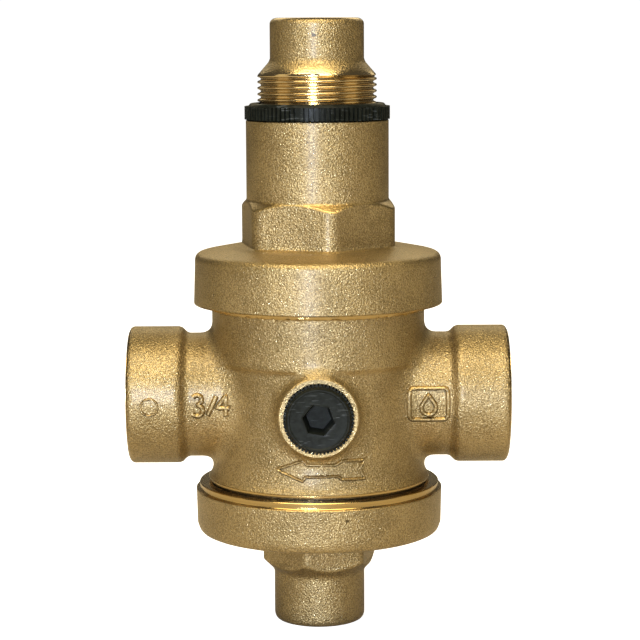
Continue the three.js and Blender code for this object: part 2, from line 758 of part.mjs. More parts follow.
const makeSeatRing = () =>
  turned([
    [SEAT_RADIUS, seatLip],
    [SEAT_RADIUS + 0.5, seatLip],
    [SEAT_RADIUS + 1.4, seatLip + 0.9],
    [SEAT_RADIUS + 1.4, lowerRoof + GAP],
    [seatRingRadius, lowerRoof + GAP],
    [seatRingRadius, seatSealGroove],
    [seatRingRadius - 2 * SEAT_SEAL_SECTION, seatSealGroove],
    [seatRingRadius - 2 * SEAT_SEAL_SECTION, seatSealGroove + 2 * (SEAT_SEAL_SECTION + GAP)],
    [seatRingRadius, seatSealGroove + 2 * (SEAT_SEAL_SECTION + GAP)],
    [seatRingRadius, lowerRoof + SEAT_RING_HEIGHT],
    [SEAT_RADIUS, lowerRoof + SEAT_RING_HEIGHT],
  ]);

const makeSeatSeal = () =>
  turned(roundSection(
    seatRingRadius - SEAT_SEAL_SECTION + SEAT_SEAL_OUTSET,
    seatSealGroove + SEAT_SEAL_SECTION + GAP,
    SEAT_SEAL_SECTION - SEAT_SEAL_SLACK,
  ), SMALL);

const makeGasketWasher = () =>
  ringOf(stemBore, SEAT_RADIUS - 1, gasketWasher, gasketWasher + GASKET_WASHER_THICKNESS);

const makeGasket = () => ringOf(stemBore, gasketRadius, gasketBottom, gasketTop);

// The cup that carries the poppet's rubber disc.
const makeHolder = () =>
  turned([
    [stemBore, holderBottom],
    [holderRadius - 3, holderBottom],
    [holderRadius, gasketBottom - 1.5],
    [holderRadius, holderRim],
    [gasketRadius + GAP, holderRim],
    [gasketRadius + GAP, gasketBottom - GAP],
    [stemBore, gasketBottom - GAP],
  ]);

const pistonGroove = pistonBottom + 2.2;

const makePiston = () =>
  turned([
    [0, pistonBottom],
    [PISTON_RADIUS - 0.6, pistonBottom],
    [PISTON_RADIUS, pistonBottom + 0.6],
    [PISTON_RADIUS, pistonGroove],
    [PISTON_RADIUS - 2 * PISTON_SEAL_SECTION, pistonGroove],
    [PISTON_RADIUS - 2 * PISTON_SEAL_SECTION, pistonGroove + 2 * (PISTON_SEAL_SECTION + GAP)],
    [PISTON_RADIUS, pistonGroove + 2 * (PISTON_SEAL_SECTION + GAP)],
    [PISTON_RADIUS, pistonTop],
    [stemBore, pistonTop],
    [stemBore, spindleBottom - GAP],
    [0, spindleBottom - GAP],
  ], SMALL);

const makePistonSeal = () =>
  turned(roundSection(
    PISTON_RADIUS - PISTON_SEAL_SECTION + 0.2,
    pistonGroove + PISTON_SEAL_SECTION + GAP,
    PISTON_SEAL_SECTION - 0.1,
  ), SMALL);

// ---------------------------------------------------------------- materials and assembly

const MATERIALS = {
  castBrass: new THREE.MeshStandardMaterial({ color: 0x9b8254, roughness: 0.5, metalness: 0.85 }),
  turnedBrass: new THREE.MeshStandardMaterial({ color: 0xb8912f, roughness: 0.25, metalness: 1 }),
  blackPlastic: new THREE.MeshStandardMaterial({ color: 0x1b1d1e, roughness: 0.55, metalness: 0 }),
  rubber: new THREE.MeshStandardMaterial({ color: 0x161616, roughness: 0.85, metalness: 0 }),
  stainless: new THREE.MeshStandardMaterial({ color: 0xb4b6b8, roughness: 0.3, metalness: 1 }),
  springSteel: new THREE.MeshStandardMaterial({ color: 0x6f7276, roughness: 0.4, metalness: 1 }),
  nylon: new THREE.MeshStandardMaterial({ color: 0xe6e0d0, roughness: 0.5, metalness: 0 }),
};

const valve = new THREE.Group();

function add(name, material, solid) {
  const mesh = new THREE.Mesh(geometryOf(solid), MATERIALS[material]);
  mesh.name = name;
  valve.add(mesh);
}

add("body", "castBrass", makeBody());
add("bottom_cap", "castBrass", makeBottomCap());
add("bottom_cap_o_ring", "rubber", makeCapSeal());
add("bonnet", "castBrass", makeBonnet());
add("lock_ring", "blackPlastic", makeLockRing());
add("adjusting_screw", "turnedBrass", makeAdjustingScrew());

const frontPlug = plugPlace(makePlug());
const frontSeal = sealPlace(makePlugSeal());
add("gauge_plug_front", "blackPlastic", frontPlug);
add("gauge_plug_front_o_ring", "rubber", frontSeal);
add("gauge_plug_rear", "blackPlastic", frontPlug.mirror([0, 1, 0]));
add("gauge_plug_rear_o_ring", "rubber", frontSeal.mirror([0, 1, 0]));

add("adjusting_spring", "springSteel", makeSpring());
add("thrust_plate", "stainless", makeThrustPlate());
add("slip_ring", "nylon", makeSlipRing());
add("diaphragm", "rubber", makeDiaphragm());
add("diaphragm_plate", "turnedBrass", makeDiaphragmPlate());
add("diaphragm_washer", "turnedBrass", makeDiaphragmWasher());

add("spindle", "stainless", makeSpindle());
add("spindle_top_nut", "stainless", hexNut(topNut, SPINDLE_NUT_HEIGHT));
add("spindle_lower_nut", "stainless", hexNut(lowerNutTop - lowerNutHeight, lowerNutHeight));
add("seat_ring", "stainless", makeSeatRing());
add("seat_ring_o_ring", "rubber", makeSeatSeal());
add("poppet_holder", "turnedBrass", makeHolder());
add("poppet_gasket", "rubber", makeGasket());
add("poppet_washer", "stainless", makeGasketWasher());
add("balancing_piston", "turnedBrass", makePiston());
add("balancing_piston_o_ring", "rubber", makePistonSeal());

export default valve;
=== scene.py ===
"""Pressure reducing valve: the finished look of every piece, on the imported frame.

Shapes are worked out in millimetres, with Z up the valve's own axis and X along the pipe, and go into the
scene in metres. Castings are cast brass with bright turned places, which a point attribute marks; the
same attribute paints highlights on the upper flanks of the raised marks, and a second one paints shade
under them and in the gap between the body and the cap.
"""
import json
import math

import bmesh
import bpy
import numpy as np
import openvdb
from mathutils import Matrix, Vector


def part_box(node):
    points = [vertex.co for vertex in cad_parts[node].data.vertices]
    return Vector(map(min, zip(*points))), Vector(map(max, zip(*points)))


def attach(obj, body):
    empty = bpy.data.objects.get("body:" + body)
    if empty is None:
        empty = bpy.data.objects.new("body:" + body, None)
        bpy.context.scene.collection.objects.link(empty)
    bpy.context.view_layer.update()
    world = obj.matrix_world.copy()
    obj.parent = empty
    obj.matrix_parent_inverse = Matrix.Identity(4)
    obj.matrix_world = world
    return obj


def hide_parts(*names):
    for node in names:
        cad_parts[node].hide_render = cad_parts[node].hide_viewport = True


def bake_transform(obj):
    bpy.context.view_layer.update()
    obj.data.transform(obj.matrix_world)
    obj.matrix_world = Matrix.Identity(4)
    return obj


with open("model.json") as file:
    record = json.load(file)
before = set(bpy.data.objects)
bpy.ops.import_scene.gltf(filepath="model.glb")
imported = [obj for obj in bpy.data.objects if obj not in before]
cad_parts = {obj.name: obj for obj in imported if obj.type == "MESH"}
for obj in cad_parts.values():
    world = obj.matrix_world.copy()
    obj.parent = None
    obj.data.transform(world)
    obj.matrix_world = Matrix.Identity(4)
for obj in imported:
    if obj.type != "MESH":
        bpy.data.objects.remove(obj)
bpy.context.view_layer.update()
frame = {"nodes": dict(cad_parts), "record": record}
MM = 0.001

# ---------------------------------------------------------------- sizes from the frame


def span(node):
    """The lowest and highest corners of a CAD node, in millimetres."""
    low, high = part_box(node)
    return np.array(low) / MM, np.array(high) / MM


OPENINGS = {o["name"]: np.array(o["box_m"]) / MM for o in frame["record"]["physics"]["openings"]}
PIPE_Z = OPENINGS["inlet_socket"][:, 2].mean()
GAUGE_Z = OPENINGS["front_plug_hexagon"][:, 2].mean()
BODY_LOW, BODY_HIGH = span("body")
CAP_LOW, CAP_HIGH = span("bottom_cap")
BONNET_LOW, BONNET_HIGH = span("bonnet")
SCREW_LOW, SCREW_HIGH = span("adjusting_screw")
RING_LOW, RING_HIGH = span("lock_ring")
PLUG_LOW, PLUG_HIGH = span("gauge_plug_front")
SPRING_LOW, SPRING_HIGH = span("adjusting_spring")
DIAPHRAGM_LOW, DIAPHRAGM_HIGH = span("diaphragm")

PORT_END = BODY_HIGH[0]
PORT_RADIUS = 17.25
NECK_RADIUS = 15.6
NECK_END = PORT_END - 14.5
COLLAR_START = PORT_END - 12.9
PORT_MINOR = 12.06
PORT_MAJOR = 13.22
PORT_PITCH = 1.814
THREAD_END = PORT_END - 15.4

WAIST_RADIUS = 25.7
SHOULDER_RADIUS = 26.7
SHOULDER_LINE_Z = PIPE_Z + 9.1
HEAD_RADIUS = 28
HEAD_Z = BONNET_LOW[2] - 1.1
FOOT_RADIUS = 27.8
FOOT_Z = CAP_HIGH[2] + 0.7
BOSS_RADIUS = 9.75
BOSS_REACH = BODY_HIGH[1]

SCREW_RADIUS = 14.85
SCREW_PITCH = 1.5

# ---------------------------------------------------------------- the body's shape, as a distance


def polygon_distance(a, b, points):
    """Signed distance from (a, b) to a closed outline, negative inside."""
    nearest = np.full(a.shape, 1e9, np.float32)
    inside = np.ones(a.shape, np.float32)
    for (x0, y0), (x1, y1) in zip(points, points[1:] + points[:1]):
        ex, ey = x1 - x0, y1 - y0
        wx, wy = a - x0, b - y0
        t = np.clip((wx * ex + wy * ey) / (ex * ex + ey * ey), 0, 1)
        nearest = np.minimum(nearest, (wx - ex * t) ** 2 + (wy - ey * t) ** 2)
        above, under, left = b >= y0, b < y1, ex * wy > ey * wx
        inside = np.where((above & under & left) | (~above & ~under & ~left), -inside, inside)
    return inside * np.sqrt(nearest)


def smooth_min(a, b, reach):
    """The lesser of two distances, with a fillet where they meet."""
    h = np.maximum(reach - np.abs(a - b), 0) / reach
    return np.minimum(a, b) - h * h * reach / 4


def rod_distance(x, y, z, start, end, radius):
    """Distance to a round-ended rod between two points."""
    s, e = np.array(start), np.array(end)
    d = e - s
    t = np.clip(((x - s[0]) * d[0] + (y - s[1]) * d[1] + (z - s[2]) * d[2]) / (d @ d), 0, 1)
    off = [value - s[i] - d[i] * t for i, value in enumerate((x, y, z))]
    return np.sqrt(off[0] ** 2 + off[1] ** 2 + off[2] ** 2) - radius


BARREL = [
    (0, BODY_LOW[2]), (26.5, BODY_LOW[2]), (27.1, BODY_LOW[2] + 0.6), (27.1, FOOT_Z),
    (FOOT_RADIUS - 0.35, FOOT_Z + 1.1), (26.85, FOOT_Z + 2.7), (26.2, FOOT_Z + 5.2), (25.8, FOOT_Z + 9),
    (WAIST_RADIUS, PIPE_Z - 6), (WAIST_RADIUS, PIPE_Z + 8.2), (WAIST_RADIUS + 0.35, PIPE_Z + 8.7),
    (SHOULDER_RADIUS, PIPE_Z + 9.5), (SHOULDER_RADIUS, HEAD_Z), (HEAD_RADIUS, HEAD_Z),
    (HEAD_RADIUS, BODY_HIGH[2] - 0.5), (HEAD_RADIUS - 0.5, BODY_HIGH[2]), (0, BODY_HIGH[2]),
]
PORT = [
    (0, 0), (NECK_RADIUS, 0), (NECK_RADIUS, NECK_END - 0.4), (NECK_RADIUS + 0.3, NECK_END + 0.2),
    (PORT_RADIUS - 0.3, COLLAR_START - 0.3), (PORT_RADIUS, COLLAR_START + 0.5),
    (PORT_RADIUS, PORT_END - 1.0),
    (PORT_RADIUS - 0.3, PORT_END - 0.4), (PORT_RADIUS - 0.9, PORT_END), (0, PORT_END),
]
PORT_BORE = [
    (0, 14), (9.5, 14), (9.5, THREAD_END - 3.5), (12.3, THREAD_END - 0.8), (13.4, THREAD_END),
    (13.4, PORT_END + 2), (0, PORT_END + 2),
]
BOSS = [
    (0, 0), (BOSS_RADIUS, 0), (BOSS_RADIUS, BOSS_REACH - 0.8), (BOSS_RADIUS - 0.7, BOSS_REACH - 0.1),
    (0, BOSS_REACH - 0.1),
]
GAUGE_BORE = [(0, 17.2), (6.75, 17.2), (6.75, 26.9), (8.3, 26.9), (8.3, 31), (0, 31)]
CHAMBERS = [
    (0, BODY_LOW[2] - 2), (20, BODY_LOW[2] - 2), (20, PIPE_Z - 12.5), (11.5, PIPE_Z - 12.5),
    (11.5, PIPE_Z - 5.3), (9.5, PIPE_Z - 5.3), (9.5, PIPE_Z + 13), (22.5, PIPE_Z + 13),
    (22.5, BODY_HIGH[2] + 2), (0, BODY_HIGH[2] + 2),
]
PORT_FILLET = 3.4
BOSS_FILLET = 3.6
PASSAGE_RADIUS = 6.3


def body_outside(p):
    """Distance to the body's outside, its ports and bosses run together with fillets."""
    x, y, z = p[..., 0], p[..., 1], p[..., 2]
    barrel = polygon_distance(np.hypot(x, y), z, BARREL)
    port = polygon_distance(np.hypot(y, z - PIPE_Z), np.abs(x), PORT)
    boss = polygon_distance(np.hypot(x, z - GAUGE_Z), np.abs(y), BOSS)
    return smooth_min(smooth_min(barrel, port, PORT_FILLET), boss, BOSS_FILLET)


def body_distance(p):
    """Distance to the body casting, with its bores and chambers."""
    x, y, z = p[..., 0], p[..., 1], p[..., 2]
    distance = body_outside(p)
    cuts = [
        polygon_distance(np.hypot(y, z - PIPE_Z), np.abs(x), PORT_BORE),
        polygon_distance(np.hypot(x, z - GAUGE_Z), np.abs(y), GAUGE_BORE),
        polygon_distance(np.hypot(x, y), z, CHAMBERS),
        rod_distance(x, y, z, (24, 0, PIPE_Z), (16.5, 0, PIPE_Z - 18), PASSAGE_RADIUS),
        rod_distance(x, y, z, (-24, 0, PIPE_Z), (-16.5, 0, PIPE_Z + 18), PASSAGE_RADIUS),
    ]
    for cut in cuts:
        distance = np.maximum(distance, -cut)
    return distance


def settle(points, distance, rounds=3, step=0.05):
    """Moves points onto the zero of a distance."""
    for _ in range(rounds):
        value = distance(points)
        slope = np.stack([
            distance(points + offset) - distance(points - offset)
            for offset in np.eye(3, dtype=np.float32) * step
        ], -1) / (2 * step)
        length = np.maximum((slope ** 2).sum(-1), 0.25)
        points = points - slope * (np.clip(value, -0.5, 0.5) / length)[:, None]
    return points


# ---------------------------------------------------------------- making meshes


def mark_points(mesh, name, values):
    """Gives each point of a mesh a value under a name, for the materials and the node trees."""
    attribute = mesh.attributes.new(name, "FLOAT", "POINT")
    attribute.data.foreach_set("value", np.asarray(values, np.float32))


def new_object(name, verts, faces, machined_and_highlight=None):
    """A smooth object from millimetre points, with the machined attribute on them."""
    mesh = bpy.data.meshes.new(name)
    mesh.from_pydata((np.asarray(verts, float) * MM).tolist(), [], faces)
    if machined_and_highlight is not None:
        mark_points(mesh, "machined_and_highlight", machined_and_highlight)
    obj = bpy.data.objects.new(name, mesh)
    bpy.context.scene.collection.objects.link(obj)
    return obj


def tidy_mesh(obj, crease=32, merge=1e-6):
    """Merges doubles, turns the faces outwards and keeps edges sharper than the crease angle crisp."""
    bm = bmesh.new()
    bm.from_mesh(obj.data)
    bmesh.ops.remove_doubles(bm, verts=bm.verts, dist=merge)
    bmesh.ops.dissolve_degenerate(bm, edges=bm.edges, dist=merge)
    bmesh.ops.recalc_face_normals(bm, faces=bm.faces)
    for face in bm.faces:
        face.smooth = True
    for edge in bm.edges:
        if len(edge.link_faces) == 2 and edge.calc_face_angle(0) > math.radians(crease):
            edge.smooth = False
    bm.to_mesh(obj.data)
    bm.free()
    return obj


def hexagon_radius(angle, flats, corner, turn):
    """The radius of a round-cornered hexagon at each angle."""
    apothem = flats / 2
    off = (angle - math.radians(turn)) % (math.pi / 3) - math.pi / 6  # from the nearest flat's middle
    flat_ends = math.atan((apothem - corner) * math.tan(math.pi / 6) / apothem)
    centre = (apothem - corner) / math.cos(math.pi / 6)
    from_corner = math.pi / 6 - np.abs(off)
    round_part = centre * np.cos(from_corner) + np.sqrt(
        np.maximum(corner ** 2 - (centre * np.sin(from_corner)) ** 2, 0))
    return np.where(np.abs(off) < flat_ends, apothem / np.cos(off), round_part)


def ring_faces(count, columns, closed=False):
    """Four-sided faces between rings of points, each ring joined to the next."""
    faces = []
    for i in range(count if closed else count - 1):
        a, b = i * columns, (i + 1) % count * columns
        faces += [(a + j, a + (j + 1) % columns, b + (j + 1) % columns, b + j) for j in range(columns)]
    return faces


def turned(name, rows, columns=240, hexagon=None, closed=False, spacing=1.2, soft=0.35):
    """A piece turned about Z from rows of (radius, height, hexed, machined).

    hexed runs from 0, round, to 1, where the hexagon (flats, corner, turn) trims the radius.
    """
    dense = []
    ring = list(rows) + ([rows[0]] if closed else [])
    for start, end in zip(ring, ring[1:]):
        start, end = np.array(start, float), np.array(end, float)
        gap = math.hypot(end[0] - start[0], end[1] - start[1])
        fine = 0.3 if hexagon and max(start[2], end[2]) > 0 and abs(end[0] - start[0]) > 0.05 else spacing
        count = max(1, math.ceil(gap / fine))
        dense += [start + (end - start) * i / count for i in range(count)]
    if not closed:
        dense.append(np.array(rows[-1], float))
    dense = np.array(dense)
    angle = np.arange(columns) * 2 * math.pi / columns
    radius = np.repeat(dense[:, :1], columns, 1)
    machined_and_highlight = np.repeat(dense[:, 3:4], columns, 1)
    if hexagon:
        flats = hexagon_radius(angle, *hexagon)[None, :]
        machined_and_highlight = machined_and_highlight * np.clip(1.5 + (flats - radius) * 4, 1 - dense[:, 2:3], 1)
        radius = radius + (smooth_min(radius, flats, soft) - radius) * dense[:, 2:3]
    verts = np.stack([
        radius * np.cos(angle), radius * np.sin(angle), np.repeat(dense[:, 1:2], columns, 1),
    ], -1).reshape(-1, 3)
    faces = ring_faces(len(dense), columns, closed)
    return tidy_mesh(new_object(name, verts, faces, machined_and_highlight.ravel()))


def rounded(points, radius, steps=4):
    """Rows with each inner corner of an open outline rounded off."""
    out = [points[0]]
    for before, here, after in zip(points, points[1:], points[2:]):
        p, a, b = (np.array(q[:2], float) for q in (here, before, after))
        reach = min(radius, np.linalg.norm(a - p) / 2.05, np.linalg.norm(b - p) / 2.05)
        start = p + (a - p) / max(np.linalg.norm(a - p), 1e-9) * reach
        end = p + (b - p) / max(np.linalg.norm(b - p), 1e-9) * reach
        for i in range(steps + 1):
            t = i / steps
            at = start * (1 - t) ** 2 + p * 2 * t * (1 - t) + end * t * t
            out.append((at[0], at[1], here[2], here[3]))
    return out + [points[-1]]


# ---------------------------------------------------------------- geometry node trees


FLOAT, VECTOR = "NodeSocketFloat", "NodeSocketVector"
INTEGER, COAT = "NodeSocketInt", "NodeSocketMaterial"


def new_tree(name, inputs):
    """An empty geometry node tree with its named inputs, as (label, kind, value)."""
    tree = bpy.data.node_groups.new(name, "GeometryNodeTree")
    tree.interface.new_socket("Geometry", in_out="INPUT", socket_type="NodeSocketGeometry")
    for label, kind, value in inputs:
        socket = tree.interface.new_socket(label, in_out="INPUT", socket_type=kind)
        if value is not None:
            socket.default_value = value
    tree.interface.new_socket("Geometry", in_out="OUTPUT", socket_type="NodeSocketGeometry")
    return tree


class Wiring:
    """Short ways to place and join the nodes of one tree."""

    def __init__(self, tree):
        self.tree = tree

    def node(self, kind, links=(), **settings):
        made = self.tree.nodes.new(kind)
        for key, value in settings.items():
            setattr(made, key, value)
        for socket, source in dict(links).items():
            if isinstance(source, bpy.types.NodeSocket):
                self.tree.links.new(source, made.inputs[socket])
            else:
                made.inputs[socket].default_value = source
        return made

    def group(self, tree, links):
        return self.node("ShaderNodeGroup", links, node_tree=tree)

    def math(self, operation, a, b=0.0, c=0.0):
        return self.node("ShaderNodeMath", {0: a, 1: b, 2: c}, operation=operation).outputs[0]

    def plus(self, a, b):
        return self.math("ADD", a, b)

    def minus(self, a, b):
        return self.math("SUBTRACT", a, b)

    def times(self, a, b):
        return self.math("MULTIPLY", a, b)

    def combine(self, **values):
        links = {"XYZ".index(axis): value for axis, value in values.items()}
        return self.node("ShaderNodeCombineXYZ", links).outputs[0]

    def vector(self, operation, a, b=(0, 0, 0)):
        return self.node("ShaderNodeVectorMath", {0: a, 1: b}, operation=operation).outputs[0]

    def ramp(self, value, low, high, to_low=0.0, to_high=1.0):
        links = {"Value": value, "From Min": low, "From Max": high, "To Min": to_low, "To Max": to_high}
        made = self.node("ShaderNodeMapRange", links, clamp=True, interpolation_type="SMOOTHSTEP")
        return made.outputs[0]

    def noise(self, vector, scale, detail, roughness=0.5):
        links = {"Vector": vector, "Scale": scale, "Detail": detail, "Roughness": roughness}
        return self.node("ShaderNodeTexNoise", links).outputs[0]

    def bump(self, strength, distance, height):
        links = {"Strength": strength, "Distance": distance, "Height": height}
        return self.node("ShaderNodeBump", links).outputs[0]

    def join(self, source, node, socket):
        self.tree.links.new(source, node.inputs[socket])


def end_tree(w, given, geometry):
    """Ends a geometry node tree with plain, coated geometry."""
    plain = w.node("GeometryNodeRealizeInstances", {0: geometry})
    coated = w.node("GeometryNodeSetMaterial", {
        "Geometry": plain.outputs[0], "Material": given["Material"],
    })
    w.node("NodeGroupOutput", {0: coated.outputs[0]})
    return w.tree


def thread_tree():
    """Cuts a right-handed V thread into the rows of a turned piece that its threaded attribute marks."""
    tree = new_tree("cut_thread", [
        ("Pitch", FLOAT, None), ("Depth", FLOAT, None), ("Material", COAT, None),
    ])
    w = Wiring(tree)
    given = w.node("NodeGroupInput").outputs
    position = w.node("GeometryNodeInputPosition").outputs[0]
    split = w.node("ShaderNodeSeparateXYZ", {0: position})
    angle = w.math("ARCTAN2", split.outputs["Y"], split.outputs["X"])
    turns = w.math("DIVIDE", angle, 2 * math.pi)
    phase = w.math("FRACT", w.minus(w.math("DIVIDE", split.outputs["Z"], given["Pitch"]), turns))
    valley = w.math("ABSOLUTE", w.minus(phase, 0.5))
    flank = w.ramp(valley, 0.08, 0.44)
    weight = w.node("GeometryNodeInputNamedAttribute", {"Name": "threaded"}, data_type="FLOAT").outputs[0]
    depth = w.times(w.times(flank, weight), given["Depth"])
    flat = w.combine(X=split.outputs["X"], Y=split.outputs["Y"])
    inward = w.vector("NORMALIZE", flat)
    offset = w.node("ShaderNodeVectorMath", {0: inward, "Scale": w.times(depth, -1.0)}, operation="SCALE")
    moved = w.node("GeometryNodeSetPosition", {
        "Geometry": given["Geometry"], "Offset": offset.outputs[0],
    })
    return end_tree(w, given, moved.outputs[0])


def rib_tree():
    """Sets upright ribs round a turned piece, a share of them left out."""
    tree = new_tree("rib_rim", [
        ("Ribs", INTEGER, 60), ("Radius", FLOAT, None), ("Rib Radius", FLOAT, None),
        ("Low", FLOAT, None), ("High", FLOAT, None), ("Missing", FLOAT, 0.0), ("Material", COAT, None),
    ])
    w = Wiring(tree)
    given = w.node("NodeGroupInput").outputs
    height = w.minus(given["High"], given["Low"])
    size = w.combine(X=w.times(given["Rib Radius"], 2.4), Y=w.times(given["Rib Radius"], 1.7), Z=height)
    rib = w.node("GeometryNodeMeshCube", {"Size": size})
    circle = w.node("GeometryNodeMeshCircle", {
        "Vertices": given["Ribs"], "Radius": given["Radius"],
    })
    middle = w.times(w.plus(given["High"], given["Low"]), 0.5)
    lift = w.combine(Z=middle)
    raised = w.node("GeometryNodeSetPosition", {"Geometry": circle.outputs[0], "Offset": lift})
    at = w.node("ShaderNodeSeparateXYZ", {0: w.node("GeometryNodeInputPosition").outputs[0]})
    angle = w.math("ARCTAN2", at.outputs[1], at.outputs[0])
    facing = w.combine(Z=angle)
    chance = w.node("FunctionNodeRandomValue", {"Seed": 7}, data_type="FLOAT")
    kept = w.node("FunctionNodeCompare", {
        0: chance.outputs[1], 1: given["Missing"],
    }, operation="GREATER_EQUAL")
    ribs = w.node("GeometryNodeInstanceOnPoints", {
        "Points": raised.outputs[0], "Selection": kept.outputs[0], "Instance": rib.outputs[0],
        "Rotation": facing,
    })
    both = w.node("GeometryNodeJoinGeometry")
    w.join(given["Geometry"], both, 0)
    w.join(ribs.outputs[0], both, 0)
    return end_tree(w, given, both.outputs[0])


def grow(obj, tree, values):
    """Runs a geometry node tree on a piece and keeps the result as its plain mesh."""
    modifier = obj.modifiers.new(tree.name, "NODES")
    modifier.node_group = tree
    identifiers = {s.name: s.identifier for s in tree.interface.items_tree if s.in_out == "INPUT"}
    for label, value in values.items():
        modifier[identifiers[label]] = value
    obj.update_tag()
    evaluated = obj.evaluated_get(bpy.context.evaluated_depsgraph_get())
    mesh = bpy.data.meshes.new_from_object(evaluated)
    obj.modifiers.remove(modifier)
    obj.data = mesh
    return obj


# ---------------------------------------------------------------- shader node groups


def shader_group(name, inputs, outputs):
    """A shader node group with named inputs and outputs, ready to be wired."""
    tree = bpy.data.node_groups.new(name, "ShaderNodeTree")
    for label, kind, value in inputs:
        socket = tree.interface.new_socket(label, in_out="INPUT", socket_type=kind)
        if value is not None:
            socket.default_value = value
    for label, kind in outputs:
        tree.interface.new_socket(label, in_out="OUTPUT", socket_type=kind)
    w = Wiring(tree)
    return tree, w, w.node("NodeGroupInput").outputs, w.node("NodeGroupOutput")


def blast_group():
    """The pebbled skin of a sand casting that was shot blasted: its height, its tone and its glints."""
    tree, w, given, result = shader_group("blasted_skin", [
        ("Vector", VECTOR, None), ("Grain", FLOAT, 1500.0), ("Patch", FLOAT, 70.0),
    ], [("Height", FLOAT), ("Tone", FLOAT), ("Glint", FLOAT), ("Pit", FLOAT)])
    vector, grain = given["Vector"], given["Grain"]
    fine = w.noise(vector, grain, 2.0, 0.55)
    dents = w.node("ShaderNodeTexVoronoi", {
        "Vector": vector, "Scale": w.times(grain, 0.8), "Smoothness": 0.4,
    }, feature="SMOOTH_F1")
    swell = w.noise(vector, w.times(grain, 0.12), 2.0)
    height = w.plus(w.times(fine, 0.5), w.times(dents.outputs[0], 0.3))
    height = w.plus(height, w.times(swell, 0.35))
    cells = w.node("ShaderNodeTexVoronoi", {"Vector": vector, "Scale": 120.0})
    draw = w.node("ShaderNodeSeparateColor", {0: cells.outputs["Color"]}).outputs[0]
    chosen = w.math("GREATER_THAN", draw, 0.8)
    pit = w.times(w.ramp(cells.outputs["Distance"], 0.065, 0.03), chosen)
    height = w.minus(height, pit)
    speck = w.noise(vector, w.times(grain, 1.1), 1.0)
    patch = w.noise(vector, given["Patch"], 4.0, 0.6)
    spark = w.noise(vector, w.times(grain, 1.15), 1.0)
    w.join(height, result, "Height")
    w.join(w.plus(w.times(patch, 0.35), w.times(speck, 0.65)), result, "Tone")
    w.join(w.ramp(spark, 0.6, 0.74), result, "Glint")
    w.join(pit, result, "Pit")
    return tree


def turning_group():
    """The fine rings that a lathe tool leaves along a coordinate, with a little chatter round them."""
    tree, w, given, result = shader_group("turning_marks", [
        ("Along", FLOAT, 0.0), ("Vector", VECTOR, None), ("Lines", FLOAT, 5000.0),
    ], [("Height", FLOAT), ("Tone", FLOAT)])
    along = w.times(given["Along"], given["Lines"])
    rings = w.node("ShaderNodeTexNoise", {"W": along, "Scale": 1.0, "Detail": 3.0, "Roughness": 0.7},
                   noise_dimensions="1D")
    chatter = w.noise(given["Vector"], 900.0, 2.0)
    w.join(w.plus(rings.outputs[0], w.times(chatter, 0.3)), result, "Height")
    w.join(w.ramp(rings.outputs[0], 0.3, 0.7), result, "Tone")
    return tree


def scratch_group():
    """Sparse hair scratches, gathered in patches, on a moulded face."""
    tree, w, given, result = shader_group("hair_scratches", [
        ("Vector", VECTOR, None), ("Scale", FLOAT, 250.0), ("Share", FLOAT, 0.5),
    ], [("Mask", FLOAT), ("Height", FLOAT)])
    masks = []
    for turn, stretch in ((0.5, 9.0), (-0.7, 7.0), (1.3, 11.0)):
        turned_to = w.node("ShaderNodeMapping", {
            "Vector": given["Vector"], "Rotation": (0.2, turn, turn),
            "Scale": (1.0, 1.0, stretch),
        })
        masks.append(w.ramp(w.noise(turned_to.outputs[0], given["Scale"], 1.0), 0.66, 0.72))
    patch = w.noise(given["Vector"], 160.0, 2.0)
    allowed = w.ramp(patch, w.minus(1.0, given["Share"]), 0.75)
    mask = w.times(w.math("MAXIMUM", w.math("MAXIMUM", masks[0], masks[1]), masks[2]), allowed)
    w.join(mask, result, "Mask")
    w.join(w.times(mask, -1.0), result, "Height")
    return tree


BLAST = blast_group()
TURNING = turning_group()
SCRATCHES = scratch_group()

# ---------------------------------------------------------------- materials


CAST_DARK, CAST_LIGHT = (0.26, 0.188, 0.082), (0.50, 0.372, 0.18)
# The last colour on the next line is painted shade, laid under raised marks and in the gap above the cap.
CAST_GLINT, CAST_PIT, PAINTED_SHADE = (0.85, 0.74, 0.50), (0.05, 0.035, 0.015), (0.07, 0.045, 0.015)
PLASTIC_DARK, PLASTIC_LIGHT, SCRATCHED = (0.007, 0.008, 0.006), (0.013, 0.015, 0.012), (0.12, 0.13, 0.13)


def new_material(name, metallic):
    """A material with its wiring, its one shader and the place on the piece."""
    material = bpy.data.materials.new(name)
    material.use_nodes = True
    w = Wiring(material.node_tree)
    shader = material.node_tree.nodes["Principled BSDF"]
    shader.inputs["Metallic"].default_value = metallic
    place = w.node("ShaderNodeTexCoord").outputs["Object"]
    return material, w, shader, place


def mixed(w, factor, a, b):
    """A colour between a and b."""
    a, b = ((*colour, 1) if isinstance(colour, tuple) else colour for colour in (a, b))
    return w.node("ShaderNodeMix", {0: factor, 6: a, 7: b}, data_type="RGBA").outputs[2]


def between(w, factor, a, b):
    """A value between a and b."""
    return w.plus(w.times(factor, w.minus(b, a)), a)


def along_axis(w, place, axis):
    """Distance along a turned piece's outline: its height plus its radius about the axis."""
    split = w.node("ShaderNodeSeparateXYZ", {0: place})
    x, y, z = (split.outputs[i] for i in range(3))
    if axis == "X":
        x, y, z = y, w.minus(z, PIPE_Z * MM), w.math("ABSOLUTE", x)
    if axis == "Y":
        x, y, z = x, w.minus(z, GAUGE_Z * MM), y
    radius = w.math("SQRT", w.plus(w.times(x, x), w.times(y, y)))
    return w.plus(z, radius)


